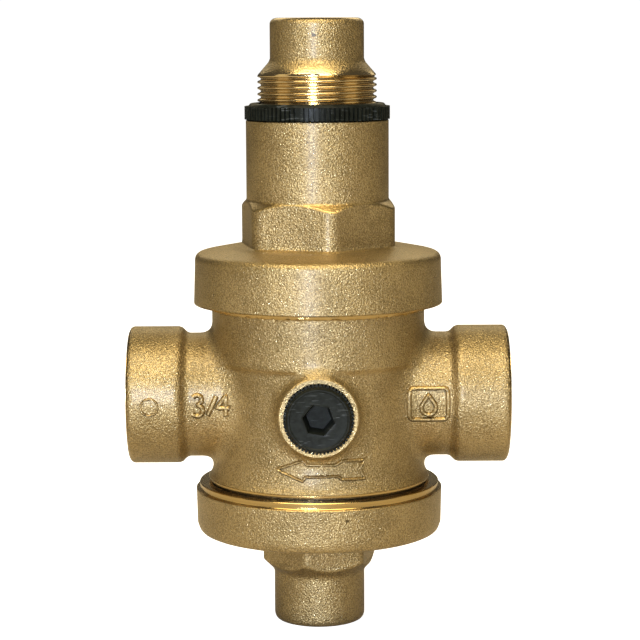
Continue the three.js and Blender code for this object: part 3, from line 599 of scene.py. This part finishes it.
def brass(name, axis="Z", grain=2700.0, cut_dark=(0.42, 0.28, 0.10), cut_light=(0.62, 0.45, 0.19)):
    """Blasted cast brass, bright and turned where one attribute says so, which on the raised marks is a
    painted highlight, and darkened with painted shade where a second attribute says so.
    """
    material, w, shader, place = new_material(name, 1.0)
    machined_and_highlight = w.node("ShaderNodeAttribute", attribute_name="machined_and_highlight").outputs["Fac"]
    cast = w.group(BLAST, {"Vector": place, "Grain": grain})
    cut = w.group(TURNING, {"Vector": place, "Along": along_axis(w, place, axis)})
    dull = mixed(w, w.ramp(cast.outputs["Tone"], 0.41, 0.59), CAST_DARK, CAST_LIGHT)
    dull = mixed(w, w.times(cast.outputs["Glint"], 0.45), dull, CAST_GLINT)
    dull = mixed(w, w.times(cast.outputs["Pit"], 0.75), dull, CAST_PIT)
    # painted shade: darkens the lower flanks of the raised marks and the body's gap above the cap
    painted_shade = w.node("ShaderNodeAttribute", attribute_name="painted_shade").outputs["Fac"]
    dull = mixed(w, w.times(painted_shade, 0.85), dull, PAINTED_SHADE)
    bright = mixed(w, cut.outputs["Tone"], cut_dark, cut_light)
    w.join(mixed(w, machined_and_highlight, dull, bright), shader, "Base Color")
    shader.inputs["Coat Weight"].default_value = 0.35
    shader.inputs["Coat Roughness"].default_value = 0.3
    dull_rough = w.ramp(cast.outputs["Glint"], 0.0, 1.0, 0.47, 0.26)
    bright_rough = w.ramp(cut.outputs["Tone"], 0.0, 1.0, 0.2, 0.11)
    w.join(between(w, machined_and_highlight, dull_rough, bright_rough), shader, "Roughness")
    height = between(w, machined_and_highlight, cast.outputs["Height"], w.times(cut.outputs["Height"], 0.04))
    w.join(w.bump(1.0, 0.42 * MM, height), shader, "Normal")
    return material


def black_plastic():
    """Glass-filled moulded plastic, faintly mottled and scratched."""
    material, w, shader, place = new_material("black_plastic", 0.0)
    scratches = w.group(SCRATCHES, {"Vector": place, "Scale": 260.0, "Share": 0.62})
    skin = w.noise(place, 900.0, 3.0)
    mottle = w.ramp(skin, 0.3, 0.7)
    shader.inputs["Specular IOR Level"].default_value = 0.09
    base = mixed(w, mottle, PLASTIC_DARK, PLASTIC_LIGHT)
    w.join(mixed(w, w.times(scratches.outputs["Mask"], 0.5), base, SCRATCHED), shader, "Base Color")
    w.join(w.ramp(skin, 0.3, 0.7, 0.28, 0.42), shader, "Roughness")
    height = w.plus(w.times(skin, 0.5), scratches.outputs["Height"])
    w.join(w.bump(0.35, 0.06 * MM, height), shader, "Normal")
    return material


def turned_metal(name, dark, light, rough):
    """A turned inner piece in one metal."""
    material, w, shader, place = new_material(name, 1.0)
    cut = w.group(TURNING, {"Vector": place, "Along": along_axis(w, place, "Z"), "Lines": 4000.0})
    w.join(mixed(w, cut.outputs["Tone"], dark, light), shader, "Base Color")
    w.join(w.ramp(cut.outputs["Tone"], 0.0, 1.0, rough + 0.08, rough - 0.05), shader, "Roughness")
    w.join(w.bump(0.4, 0.03 * MM, cut.outputs["Height"]), shader, "Normal")
    return material


def moulded(name, dark, light, low, high):
    """Rubber or nylon as it comes from the mould."""
    material, w, shader, place = new_material(name, 0.0)
    skin = w.group(BLAST, {"Vector": place, "Grain": 1100.0})
    w.join(mixed(w, skin.outputs["Tone"], dark, light), shader, "Base Color")
    w.join(w.ramp(skin.outputs["Tone"], 0.3, 0.7, low, high), shader, "Roughness")
    w.join(w.bump(0.3, 0.04 * MM, skin.outputs["Height"]), shader, "Normal")
    return material


MATERIALS = {
    "cast_brass": brass("cast_brass"),
    "turned_brass": brass("turned_brass", cut_dark=(0.48, 0.35, 0.17), cut_light=(0.72, 0.56, 0.31)),
    "port_brass": brass("port_brass", axis="X"),
    "boss_brass": brass("boss_brass", axis="Y"),
    "black_plastic": black_plastic(),
    "rubber": moulded("rubber", (0.010, 0.010, 0.010), (0.030, 0.030, 0.030), 0.62, 0.8),
    "nylon": moulded("nylon", (0.70, 0.66, 0.56), (0.82, 0.79, 0.70), 0.4, 0.5),
    "stainless": turned_metal("stainless", (0.45, 0.45, 0.46), (0.70, 0.70, 0.71), 0.26),
    "spring_steel": turned_metal("spring_steel", (0.20, 0.20, 0.21), (0.42, 0.42, 0.43), 0.34),
    "inner_brass": turned_metal("inner_brass", (0.62, 0.40, 0.13), (0.86, 0.64, 0.27), 0.24),
}


def finish_piece(obj, material, body, slot, *nodes):
    """Gives a piece its material and the body it rides on, if only one, and hides the CAD nodes it stands
    for.
    """
    if material and not obj.data.materials:
        obj.data.materials.append(MATERIALS[material])
    if body:
        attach(obj, body)
    if nodes:
        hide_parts(*nodes)
    return obj


# ---------------------------------------------------------------- body


def make_body():
    """The tee casting, meshed from its distance and settled on it."""
    voxel = 0.66
    low = BODY_LOW - 2.4
    high = BODY_HIGH + 2.4
    counts = np.ceil((high - low) / voxel).astype(int)
    axes = [low[i] + voxel * np.arange(counts[i], dtype=np.float32) for i in range(3)]
    field = np.empty(counts, np.float32)
    for i, x in enumerate(axes[0]):
        y, z = np.meshgrid(axes[1], axes[2], indexing="ij")
        field[i] = body_distance(np.stack([np.full_like(y, x), y, z], -1))
    grid = openvdb.FloatGrid(background=2.0)
    grid.copyFromArray(np.clip(field, -2.0, 2.0))
    points, quads = grid.convertToQuads(isovalue=0.0)
    points = settle(low.astype(np.float32) + points.astype(np.float32) * voxel, body_distance)
    x, y, z = points.T
    around_pipe = np.hypot(y, z - PIPE_Z)
    around_gauge = np.hypot(x, z - GAUGE_Z)
    machined_and_highlight = np.zeros(len(points), np.float32)
    machined_and_highlight[z > HEAD_Z - 0.2] = 1
    machined_and_highlight[z < CAP_HIGH[2] - 0.3] = 1
    machined_and_highlight[(around_gauge < 8.6) & (np.abs(y) > 16)] = 1
    machined_and_highlight[(around_pipe < 13.7) & (np.abs(x) > THREAD_END - 4)] = 1
    machined_and_highlight[(np.abs(x) > PORT_END - 0.35)] = 1
    mould_line = np.clip(1 - np.abs(z - SHOULDER_LINE_Z) / 0.45, 0, 1)
    machined_and_highlight = np.maximum(machined_and_highlight, 0.55 * mould_line * (np.hypot(x, y) < SHOULDER_RADIUS + 0.4))
    obj = new_object("body_casting", points, quads[:, ::-1].tolist(), machined_and_highlight)
    # painted shade in the gap between the body's foot and the cap
    mark_points(obj.data, "painted_shade", (z < FOOT_Z) & (z > CAP_HIGH[2] - 0.3))
    return finish_piece(tidy_mesh(obj, crease=40), "cast_brass", "housing", "cast_brass", "body")


def make_foot_rim():
    """The turned edge above the body's lower thread."""
    rim = FOOT_RADIUS + 0.1
    rows = [
        (26.5, FOOT_Z - 0.1, 0, 0), (27.0, FOOT_Z - 0.1, 0, 0), (27.2, FOOT_Z, 0, 0.5),
        (rim - 0.15, FOOT_Z, 0, 1),
        (rim, FOOT_Z + 0.12, 0, 1), (rim, FOOT_Z + 0.62, 0, 1), (rim - 0.12, FOOT_Z + 0.77, 0, 0),
        (rim - 0.75, FOOT_Z + 1.9, 0, 0), (26.5, FOOT_Z + 1.9, 0, 0),
    ]
    finish_piece(turned("body_foot_rim", rows, closed=True), "cast_brass", "housing", "cast_brass")


def make_boss_rim(side):
    """The faced ring of a gauge boss, which the plug's flange presses on."""
    rim, face = BOSS_RADIUS + 0.08, BOSS_REACH
    rows = [
        (rim - 0.6, face - 1.3, 0, 0), (rim, face - 1.3, 0, 0), (rim, face - 0.35, 0, 0),
        (rim - 0.3, face, 0, 0.2),
        (8.5, face, 0, 0.25), (8.4, face - 1.3, 0, 0.6),
    ]
    name = "gauge_boss_rim_" + ("front" if side < 0 else "rear")
    obj = turned(name, rows, columns=144, closed=True, spacing=0.5)
    turn = Matrix.Rotation(math.radians(-90 * side), 4, "X")
    obj.data.transform(Matrix.Translation((0, 0, GAUGE_Z * MM)) @ turn)
    return finish_piece(obj, "boss_brass", "housing", "cast_brass")


def make_port_thread(side):
    """The turned mouth of a port: its ring face and its female thread."""
    rows = [
        (PORT_MINOR, THREAD_END - 0.1, 0, 1), (PORT_MINOR, PORT_END - 1.5, 0, 1),
        (PORT_MAJOR + 0.25, PORT_END + 0.05, 0, 1),
        (PORT_RADIUS - 1.1, PORT_END + 0.05, 0, 1), (PORT_RADIUS - 1.1, PORT_END - 0.3, 0, 1),
        (PORT_MAJOR + 0.6, PORT_END - 0.3, 0, 1), (PORT_MAJOR + 0.4, THREAD_END - 0.1, 0, 1),
    ]
    name = "port_thread_" + ("inlet" if side > 0 else "outlet")
    obj = turned(name, rows, columns=180, closed=True, spacing=0.18)
    mark_thread(obj, THREAD_END + 0.6, PORT_END - 1.6, 0.8, PORT_MAJOR - 0.7)
    grow(obj, THREAD, {"Pitch": PORT_PITCH * MM, "Depth": -1.1 * MM, "Material": MATERIALS["port_brass"]})
    turn = Matrix.Rotation(math.radians(90 * side), 4, "Y")
    obj.data.transform(Matrix.Translation((0, 0, PIPE_Z * MM)) @ turn)
    return finish_piece(tidy_mesh(obj), "port_brass", "housing", "cast_brass")


def mark_thread(obj, low, high, fade, within=None, beyond=None):
    """Marks the rows to be threaded, fading out at both ends, on the bore or on the outside."""
    co = np.array([v.co for v in obj.data.vertices]) / MM
    radius = np.hypot(co[:, 0], co[:, 1])
    weight = np.clip((co[:, 2] - low) / fade, 0, 1) * np.clip((high - co[:, 2]) / fade, 0, 1)
    if within is not None:
        weight *= radius < within
    if beyond is not None:
        weight *= radius > beyond
    mark_points(obj.data, "threaded", weight)


# ---------------------------------------------------------------- raised marks on the casting


def on_front(x, z):
    """The body's front surface at each (x, z)."""
    x, z = np.asarray(x, float), np.asarray(z, float)
    near, far = np.full(x.shape, -BOSS_REACH - 5.0), np.zeros(x.shape)
    for _ in range(24):
        y = (near + far) / 2
        outside = body_outside(np.stack([x, y, z], -1)) > 0
        near, far = np.where(outside, y, near), np.where(outside, far, y)
    return np.stack([x, far, z], -1)


def bead(name, outlines, radius, proud):
    """Rounded beads along outlines of (x, z) points, lying on the body's front."""
    data = bpy.data.curves.new(name, "CURVE")
    data.dimensions = "3D"
    data.bevel_depth = radius * MM
    data.bevel_resolution = 3
    data.use_fill_caps = True
    for outline, cyclic in outlines:
        outline = np.array(outline, float)
        ends = np.vstack([outline, outline[:1]]) if cyclic else outline
        dense = []
        for a, b in zip(ends, ends[1:]):
            count = max(1, int(np.linalg.norm(b - a) / 0.5))
            dense += [a + (b - a) * i / count for i in range(count)]
        if not cyclic:
            dense.append(ends[-1])
        dense = np.array(dense)
        points = on_front(dense[:, 0], dense[:, 1])
        step = 0.1
        slope = np.stack([
            body_outside(points + offset) - body_outside(points - offset) for offset in np.eye(3) * step
        ], -1)
        slope /= np.linalg.norm(slope, axis=-1, keepdims=True)
        points = (points - slope * (radius - proud)) * MM
        spline = data.splines.new("POLY")
        spline.points.add(len(points) - 1)
        spline.points.foreach_set("co", np.hstack([points, np.ones((len(points), 1))]).ravel())
        spline.use_cyclic_u = cyclic
    curve = bpy.data.objects.new(name, data)
    bpy.context.scene.collection.objects.link(curve)
    mesh = bpy.data.meshes.new_from_object(curve.evaluated_get(bpy.context.evaluated_depsgraph_get()))
    bpy.data.objects.remove(curve)
    obj = bpy.data.objects.new(name, mesh)
    bpy.context.scene.collection.objects.link(obj)
    return paint_bead_light_and_shade(tidy_mesh(obj, crease=60))


def paint_bead_light_and_shade(obj):
    """Paints a bright highlight along a bead's upper flank and painted shade along its lower one."""
    slope = np.array([v.normal for v in obj.data.vertices])[:, 2]
    # painted highlight: the upward-facing flank is turned bright; painted shade: the downward-facing
    # flank is darkened
    mark_points(obj.data, "machined_and_highlight", np.clip(slope * 1.2 - 0.1, 0, 0.7))
    mark_points(obj.data, "painted_shade", np.clip(-slope * 2.4 - 0.3, 0, 1))
    return obj


def arc(cx, cz, radius, start, end, count=14):
    """Points along an arc, its ends given in degrees."""
    angles = np.radians(np.linspace(start, end, count))
    return [(cx + radius * math.cos(a), cz + radius * math.sin(a)) for a in angles]


def rounded_frame(left, right, low, high, radius):
    """An outline with round corners."""
    corners = ((right, high, 0), (left, high, 90), (left, low, 180), (right, low, 270))
    middle_x, middle_z = (left + right) / 2, (low + high) / 2
    return [
        point for x, z, start in corners
        for point in arc(x + math.copysign(radius, middle_x - x), z + math.copysign(radius, middle_z - z),
                         radius, start, start + 90, 5)
    ]


def make_marks():
    """The flow arrow, the size and two plain mould marks, from the pipe axis."""
    arrow = [
        (-10.2, -14.6), (-3.9, -12.3), (-2.9, -13.3), (4.15, -13.35), (5.6, -12.4), (11.0, -12.5),
        (10.0, -14.5), (11.2, -17.0), (5.6, -16.9), (4.6, -16.1), (-3.4, -16.25), (-3.9, -17.3),
        (-9.0, -15.3),
    ]
    three = arc(-29.9, 1.1, 1.15, 150, -80, 9) + arc(-29.9, -1.6, 1.4, 80, -150, 10)
    slash = [(-27.3, -2.8), (-25.2, 2.0)]
    four = [(-22.8, -3.0), (-22.8, 2.1), (-25.1, -0.9), (-21.9, -0.9)]
    frame_line = rounded_frame(22.3, 31.9, -4.1, 3.7, 1.1)
    drop = arc(27.1, -1.1, 1.8, 150, 390, 16) + [(27.1, 2.1)]
    marks = [
        ("flow_arrow", [(arrow, True)], 0.42, 0.46),
        ("size_mark", [(three, False), (slash, False), (four, False)], 0.70, 0.72),
        ("collar_ring", [(arc(-41.65, -0.5, 2.1, 0, 345, 24), True)], 0.32, 0.3),
        ("maker_pad", [(frame_line, True), (drop, True)], 0.60, 0.68),
    ]
    for name, outlines, radius, proud in marks:
        raised = [([(x, z + PIPE_Z) for x, z in outline], cyclic) for outline, cyclic in outlines]
        finish_piece(bead(name, raised, radius, proud), "cast_brass", "housing", "cast_brass")


# ---------------------------------------------------------------- bonnet, cap, screw, ring, plugs


def make_bonnet():
    """The spring housing: a round flange, a rough hexagon and a tower."""
    low, top = BONNET_LOW[2], BONNET_HIGH[2]
    edge, hex_top, tower = low + 11.2, low + 23.4, low + 25.9
    rim, tower_radius = 31.2, 17.8
    outer = [
        (28.3, low, 0, 1), (rim - 0.12, low, 0, 1), (rim, low + 0.15, 0, 1), (rim, low + 0.4, 0, 0),
        (rim - 0.3, edge - 2.2, 0, 0),
    ]
    outer += rounded([
        (rim - 0.3, edge - 2.2, 0, 0), (rim - 0.35, edge + 1.35, 0, 0.15), (26.0, edge + 2.3, 0, 0.15),
    ], 2.6, 8)[1:-1]
    outer += [
        (26.0, edge + 2.3, 0, 0.12), (23.6, edge + 2.75, 0, 0.12), (22.6, edge + 3.05, 0.6, 0.1),
        (22.0, edge + 3.45, 0.95, 0), (21.4, edge + 4.2, 1, 0), (21.2, edge + 5.2, 1, 0),
        (21.2, hex_top - 0.1, 1, 0), (20.95, hex_top, 1, 0.5),
        (tower_radius + 0.25, tower - 0.15, 1, 0.5), (tower_radius, tower + 0.25, 1, 0.1),
        (tower_radius, tower + 0.6, 0, 0),
        (tower_radius, top - 0.25, 0, 0), (tower_radius - 0.2, top, 0, 1),
    ]
    inner = [
        (15.2, top, 0, 1), (15.2, low + 12.9, 0, 1), (23.5, low + 11.2, 0, 1), (23.5, low + 10, 0, 1),
        (28.3, low + 10, 0, 1),
    ]
    obj = turned("bonnet_casting", outer + inner, columns=300, hexagon=(36, 4.2, 40), closed=True)
    return finish_piece(obj, "cast_brass", "housing", "cast_brass", "bonnet")


def make_cap():
    """The bottom cap: a cup over the body's foot, a low hexagon and a spigot."""
    top = CAP_HIGH[2]
    under, step, floor = top - 13, top - 1.55, top - 8.1
    spigot, rim, bore = 11.45, 31.1, 27.4
    outer = rounded([(0.0, 0.0, 0, 0.6), (spigot, 0, 0, 0), (spigot, 13.0, 0, 0)], 1.9, 6)[:-1]
    outer += rounded([
        (spigot, 5, 0, 0), (spigot, 13.1, 0, 0), (15.3, 16.9, 1, 0),
    ], 1.0)[1:-1]
    outer += [
        (14.4, 16.0, 1, 0.1), (15.1, 16.8, 1, 0), (15.6, 17.6, 1, 0), (15.6, under - 0.9, 1, 0),
        (16.2, under - 0.35, 0.9, 0), (17.4, under - 0.05, 0.5, 0), (19.4, under + 0.1, 0, 0),
    ]
    outer += rounded([
        (19.4, under + 0.1, 0, 0), (rim - 0.9, under + 0.45, 0, 0), (rim - 0.2, under + 2.6, 0, 0),
    ], 1.3)[1:]
    outer += [
        (rim, step - 0.35, 0, 0), (rim, step - 0.12, 0, 0.7), (rim - 0.12, step, 0, 1),
        (rim - 0.75, step + 0.02, 0, 1), (rim - 0.85, step + 0.15, 0, 1), (rim - 0.85, top - 0.15, 0, 1),
        (rim - 1.0, top, 0, 1),
    ]
    inner = [
        (bore, top, 0, 1), (bore, floor, 0, 1), (10.05, floor, 0, 1), (8.05, floor - 2, 0, 1),
        (8.05, 3, 0, 1), (0.0, 3, 0, 1),
    ]
    obj = turned("bottom_cap_casting", outer + inner, columns=300, hexagon=(26, 2.2, 16.5))
    return finish_piece(obj, "cast_brass", "housing", "cast_brass", "bottom_cap")


def make_screw():
    """The adjusting screw: a hollow threaded plug with a cone, a head and a hexagon socket."""
    top, low = SCREW_HIGH[2], SCREW_LOW[2]
    head, shoulder = 11.7, top - 14.0
    outer = rounded([
        (12.0, low, 0, 1), (SCREW_RADIUS - 0.9, low, 0, 1), (SCREW_RADIUS, low + 0.9, 0, 1),
    ], 0.2)
    outer += [(SCREW_RADIUS, z, 0, 1) for z in np.arange(low + 1.2, shoulder - 0.4, SCREW_PITCH / 12)]
    outer += [(SCREW_RADIUS, shoulder - 0.4, 0, 1), (SCREW_RADIUS - 0.12, shoulder, 0, 1)]
    cone = [
        (SCREW_RADIUS - 0.2, shoulder, 0, 0.12), (head + 0.35, top - 10.9, 0, 0.08),
        (head, top - 10.0, 0, 0),
    ]
    outer += rounded(cone, 0.7)[1:] + [(head, top - 9.0, 0, 0)]
    crown = [
        (head, top - 3.0, 0, 0), (head, top - 0.9, 0, 0.1), (head - 1.1, top, 0, 0.9), (8.2, top, 0, 0.8),
    ]
    outer += rounded(crown, 1.1, 5)
    socket = [(7.3, top, 1, 0.8), (7.0, top - 0.35, 1, 1), (7.0, top - 8, 1, 1), (0.0, top - 8, 0, 1)]
    hollow = [(12.0, low, 0, 1), (12.0, top - 16, 0, 1), (0.0, top - 16, 0, 1)]
    rows = hollow[::-1][:-1] + outer + socket
    obj = turned("adjusting_screw_plug", rows, columns=240, hexagon=(12, 0.4, 0), soft=0.1)
    mark_thread(obj, low + 1.0, shoulder - 0.1, 0.5, beyond=SCREW_RADIUS - 0.5)
    grow(obj, THREAD, {
        "Pitch": SCREW_PITCH * MM, "Depth": 0.85 * MM, "Material": MATERIALS["turned_brass"],
    })
    return finish_piece(tidy_mesh(obj, crease=75), None, "screw", "turned_brass", "adjusting_screw")


def make_lock_ring():
    """The lock ring: a plain core with upright ribs round it, a few of them missing."""
    low, high = RING_LOW[2] - 0.2, RING_HIGH[2]
    radius = RING_HIGH[0] - 0.85
    rows = rounded([
        (15.3, low, 0, 0), (radius - 0.1, low, 0, 0), (radius, high - 0.7, 0, 0),
        (radius - 0.6, high, 0, 0), (15.3, high, 0, 0),
    ], 0.2)
    obj = turned("lock_ring_moulding", rows, columns=192, closed=True, spacing=1.0)
    grow(obj, RIBS, {
        "Ribs": 92, "Radius": (radius + 0.4) * MM, "Rib Radius": 0.42 * MM, "Low": (low + 0.05) * MM,
        "High": (high - 0.75) * MM, "Missing": 0.04, "Material": MATERIALS["black_plastic"],
    })
    return finish_piece(tidy_mesh(obj), None, "ring", "black_plastic", "lock_ring")


def narrow_socket(obj, mouth, floor, reach, share):
    """Tapers a socket towards its floor."""
    for vertex in obj.data.vertices:
        at = vertex.co / MM
        if at.z < mouth and at.xy.length < reach and at.z > floor - 0.1:
            depth = (mouth - at.z) / (mouth - floor)
            vertex.co.xy = vertex.co.xy * (1 + (share - 1) * min(1, depth))


def make_plug(side):
    """A gauge plug: its serrated flange, its dished face and its tapered hexagon socket."""
    flange, height, shank, socket = 8.1, 2.7, 6.45, 3.45
    rows = [
        (0.0, -8.5, 0, 0), (shank - 0.8, -8.5, 0, 0), (shank, -7.7, 0, 0), (shank, 0, 0, 0),
        (flange - 0.2, 0, 0, 0), (flange, 0.25, 0, 0), (flange, height - 1.5, 0, 0),
        (flange - 0.25, height - 1.1, 0, 0), (flange - 0.45, height - 0.3, 0, 0),
        (flange - 0.65, height, 0, 0), (flange - 0.95, height, 0, 0), (flange - 1.2, height - 0.2, 0, 0),
        (5.2, height - 0.26, 0, 0), (4.4, height - 0.26, 0.4, 0), (4.1, height - 0.3, 1, 0),
        (4.1, height - 0.6, 1, 0), (4.1, -2.6, 1, 0), (0.0, -2.6, 0, 0),
    ]
    name = "gauge_plug_" + ("front" if side < 0 else "rear")
    hexagon = (2 * socket, 0.2, -10)
    obj = turned(name + "_moulding", rows, columns=180, hexagon=hexagon, spacing=0.7, soft=0.1)
    narrow_socket(obj, height - 0.4, -2.6, 4.2, 0.78)
    grow(obj, RIBS, {
        "Ribs": 58, "Radius": (flange + 0.1) * MM, "Rib Radius": 0.3 * MM, "Low": 0.15 * MM,
        "High": (height - 1.3) * MM, "Missing": 0.0, "Material": MATERIALS["black_plastic"],
    })
    turn = Matrix.Rotation(math.radians(90 if side < 0 else -90), 4, "X")
    reach = side * (BOSS_REACH + 0.3) * MM
    obj.data.transform(Matrix.Translation((0, reach, GAUGE_Z * MM)) @ turn)
    return finish_piece(tidy_mesh(obj), None, "housing", "black_plastic", name)


# ---------------------------------------------------------------- spring and diaphragm


def make_spring():
    """The adjusting spring's wire in two lengths, a lower and an upper one."""
    wire, turns, steps = 1.8, 5.5, 40
    low, high = SPRING_LOW[2] + wire, SPRING_HIGH[2] - wire
    turn = np.linspace(0, turns, int(turns * steps) + 1)
    closed_rise = 2.15 * wire
    open_rise = (high - low - 2 * closed_rise) / (turns - 2)
    z = low + np.minimum(turn, 1) * closed_rise + np.clip(turn - 1, 0, turns - 2) * open_rise \
        + np.maximum(turn - turns + 1, 0) * closed_rise
    split = int(2.3 * steps)
    lower = make_wire("adjusting_spring_lower", turn[:split + 1], z[:split + 1], wire)
    upper = make_wire("adjusting_spring_upper", turn[split:], z[split:], wire)
    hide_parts("adjusting_spring")
    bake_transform(lower)
    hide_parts("adjusting_spring")
    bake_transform(upper)


def make_wire(name, turn, z, wire, sides=16):
    """A stretch of the spring's round wire, through its turns and heights."""
    middle = SPRING_HIGH[0] - wire
    angle = 2 * math.pi * turn
    around = 2 * math.pi * np.arange(sides) / sides
    radius = middle + wire * np.cos(around)[None, :]
    height = z[:, None] + wire * np.sin(around)[None, :]
    verts = np.stack([radius * np.cos(angle)[:, None], radius * np.sin(angle)[:, None], height], -1)
    count = len(turn)
    faces = ring_faces(count, sides)
    faces += [tuple(range(sides)), tuple(range((count - 1) * sides, count * sides))]
    obj = tidy_mesh(new_object(name, verts.reshape(-1, 3), faces), crease=50)
    return finish_piece(obj, "spring_steel", None, "spring_steel")


def make_diaphragm():
    """The rubber diaphragm: a clamped rim, a rolled slope and a centre."""
    low, high = DIAPHRAGM_LOW[2], DIAPHRAGM_HIGH[2]
    under = [(4.3, low, 0, 0), (18.1, low, 0, 0), (18.9, low + 0.3, 0, 0), (21.2, high - 1.8, 0, 0),
             (22.1, high - 1.5, 0, 0), (27.7, high - 1.5, 0, 0)]
    over = [(27.7, high, 0, 0), (21.6, high, 0, 0), (20.6, high - 0.4, 0, 0), (18.4, low + 1.8, 0, 0),
            (17.5, low + 1.5, 0, 0), (4.3, low + 1.5, 0, 0)]
    obj = turned("diaphragm_rubber", under + over, columns=160, closed=True, spacing=0.8)
    finish_piece(obj, "rubber", None, "rubber", "diaphragm")
    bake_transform(obj)


def dress_inner_pieces():
    """Materials for the CAD pieces whose shape stays as it is."""
    slots = {s["node"]: s["material_slot"] for s in frame["record"]["subparts"]}
    looks = {"turned_brass": "inner_brass", "cast_brass": "cast_brass"}
    for node, obj in frame["nodes"].items():
        slot = slots[node]
        obj.data.materials.clear()
        obj.data.materials.append(MATERIALS[looks.get(slot, slot)])


# ---------------------------------------------------------------- floor, light, camera


FLOOR_REFLECTED = (0.62, 0.58, 0.52)
COOL, WARM = (0.73, 0.83, 1.0), (1.0, 0.86, 0.55)
VALVE_MIDDLE = (0, 0, 0.075)


def make_stage():
    """A floor that is white to the camera and a mid tone in the valve's reflections."""
    mesh = bpy.data.meshes.new("floor")
    side = 6.0
    corners = [(-side, -side, 0), (side, -side, 0), (side, side, 0), (-side, side, 0)]
    mesh.from_pydata(corners, [], [(0, 1, 2, 3)])
    floor = bpy.data.objects.new("floor", mesh)
    bpy.context.scene.collection.objects.link(floor)
    material, w, shader, place = new_material("pale_floor", 0.0)
    grain = w.node("ShaderNodeTexNoise", {"Vector": place, "Scale": 4.0, "Detail": 3.0})
    seen = w.node("ShaderNodeLightPath").outputs["Is Camera Ray"]
    pale = mixed(w, grain.outputs[0], (0.90, 0.90, 0.90), (0.93, 0.93, 0.93))
    w.join(mixed(w, seen, FLOOR_REFLECTED, pale), shader, "Base Color")
    shader.inputs["Roughness"].default_value = 0.9
    shader.inputs["Specular IOR Level"].default_value = 0.0
    shader.inputs["Emission Color"].default_value = (1, 1, 1, 1)
    w.join(w.times(seen, 0.97), shader, "Emission Strength")
    mesh.materials.append(material)


def area_light(name, place, size, size_y, energy, colour):
    """A soft rectangular light that points at the valve's middle."""
    data = bpy.data.lights.new(name, "AREA")
    data.shape = "RECTANGLE"
    data.size, data.size_y = size, size_y
    data.energy = energy
    data.color = colour
    light = bpy.data.objects.new(name, data)
    light.location = place
    light.rotation_euler = (Vector(VALVE_MIDDLE) - Vector(place)).to_track_quat("-Z", "Y").to_euler()
    bpy.context.scene.collection.objects.link(light)


def make_lights():
    """A small cool key in front, warm light from above and around, and a dim world."""
    area_light("key", (-0.14, -0.95, 0.17), 0.13, 0.38, 9.2, COOL)
    area_light("overhead", (-0.05, -0.45, 1.05), 1.1, 0.55, 14.5, WARM)
    area_light("back", (0, 1.1, 0.75), 1.4, 0.6, 3.4, WARM)
    area_light("left", (-1.1, -0.3, 0.4), 0.6, 1.0, 1.6, WARM)
    area_light("right", (1.1, -0.3, 0.4), 0.6, 1.0, 1.6, WARM)
    world = bpy.data.worlds.new("studio")
    bpy.context.scene.world = world
    world.use_nodes = True
    w = Wiring(world.node_tree)
    world.node_tree.nodes.clear()
    seen = w.node("ShaderNodeLightPath").outputs["Is Camera Ray"]
    soft = w.node("ShaderNodeBackground", {"Color": (1.0, 0.90, 0.70, 1), "Strength": 0.09})
    white = w.node("ShaderNodeBackground", {"Color": (1, 1, 1, 1), "Strength": 1.05})
    both = w.node("ShaderNodeMixShader", {0: seen, 1: soft.outputs[0], 2: white.outputs[0]})
    w.node("ShaderNodeOutputWorld", {0: both.outputs[0]})


SENSOR, LENS = 36, 123.75
CAMERA_PITCH, CAMERA_ROLL = math.radians(7.5), math.radians(-0.28)
CAMERA_PLACE = (0.445, -549.84, PIPE_Z + 91.14)


def make_camera():
    """Eye level a little above the pipe axis, looking slightly down, with a hair of roll."""
    data = bpy.data.cameras.new("camera")
    data.sensor_width, data.lens = SENSOR, LENS
    camera = bpy.data.objects.new("camera", data)
    pitch, roll = CAMERA_PITCH, CAMERA_ROLL
    forward = Vector((0, math.cos(pitch), -math.sin(pitch)))
    level_up = Vector((0, math.sin(pitch), math.cos(pitch)))
    right = Vector((1, 0, 0)) * math.cos(roll) + level_up * math.sin(roll)
    up = level_up * math.cos(roll) - Vector((1, 0, 0)) * math.sin(roll)
    placed = Matrix((right, up, -forward)).transposed().to_4x4()
    placed.translation = Vector(CAMERA_PLACE) * MM
    camera.matrix_world = placed
    bpy.context.scene.collection.objects.link(camera)
    bpy.context.scene.camera = camera
    bpy.context.scene.view_settings.view_transform = "Standard"


THREAD = thread_tree()
RIBS = rib_tree()

make_camera()
make_lights()
make_stage()
dress_inner_pieces()
make_body()
make_foot_rim()
make_boss_rim(-1)
make_boss_rim(1)
make_port_thread(1)
make_port_thread(-1)
make_marks()
make_bonnet()
make_cap()
make_screw()
make_lock_ring()
make_plug(-1)
make_plug(1)
make_spring()
make_diaphragm()
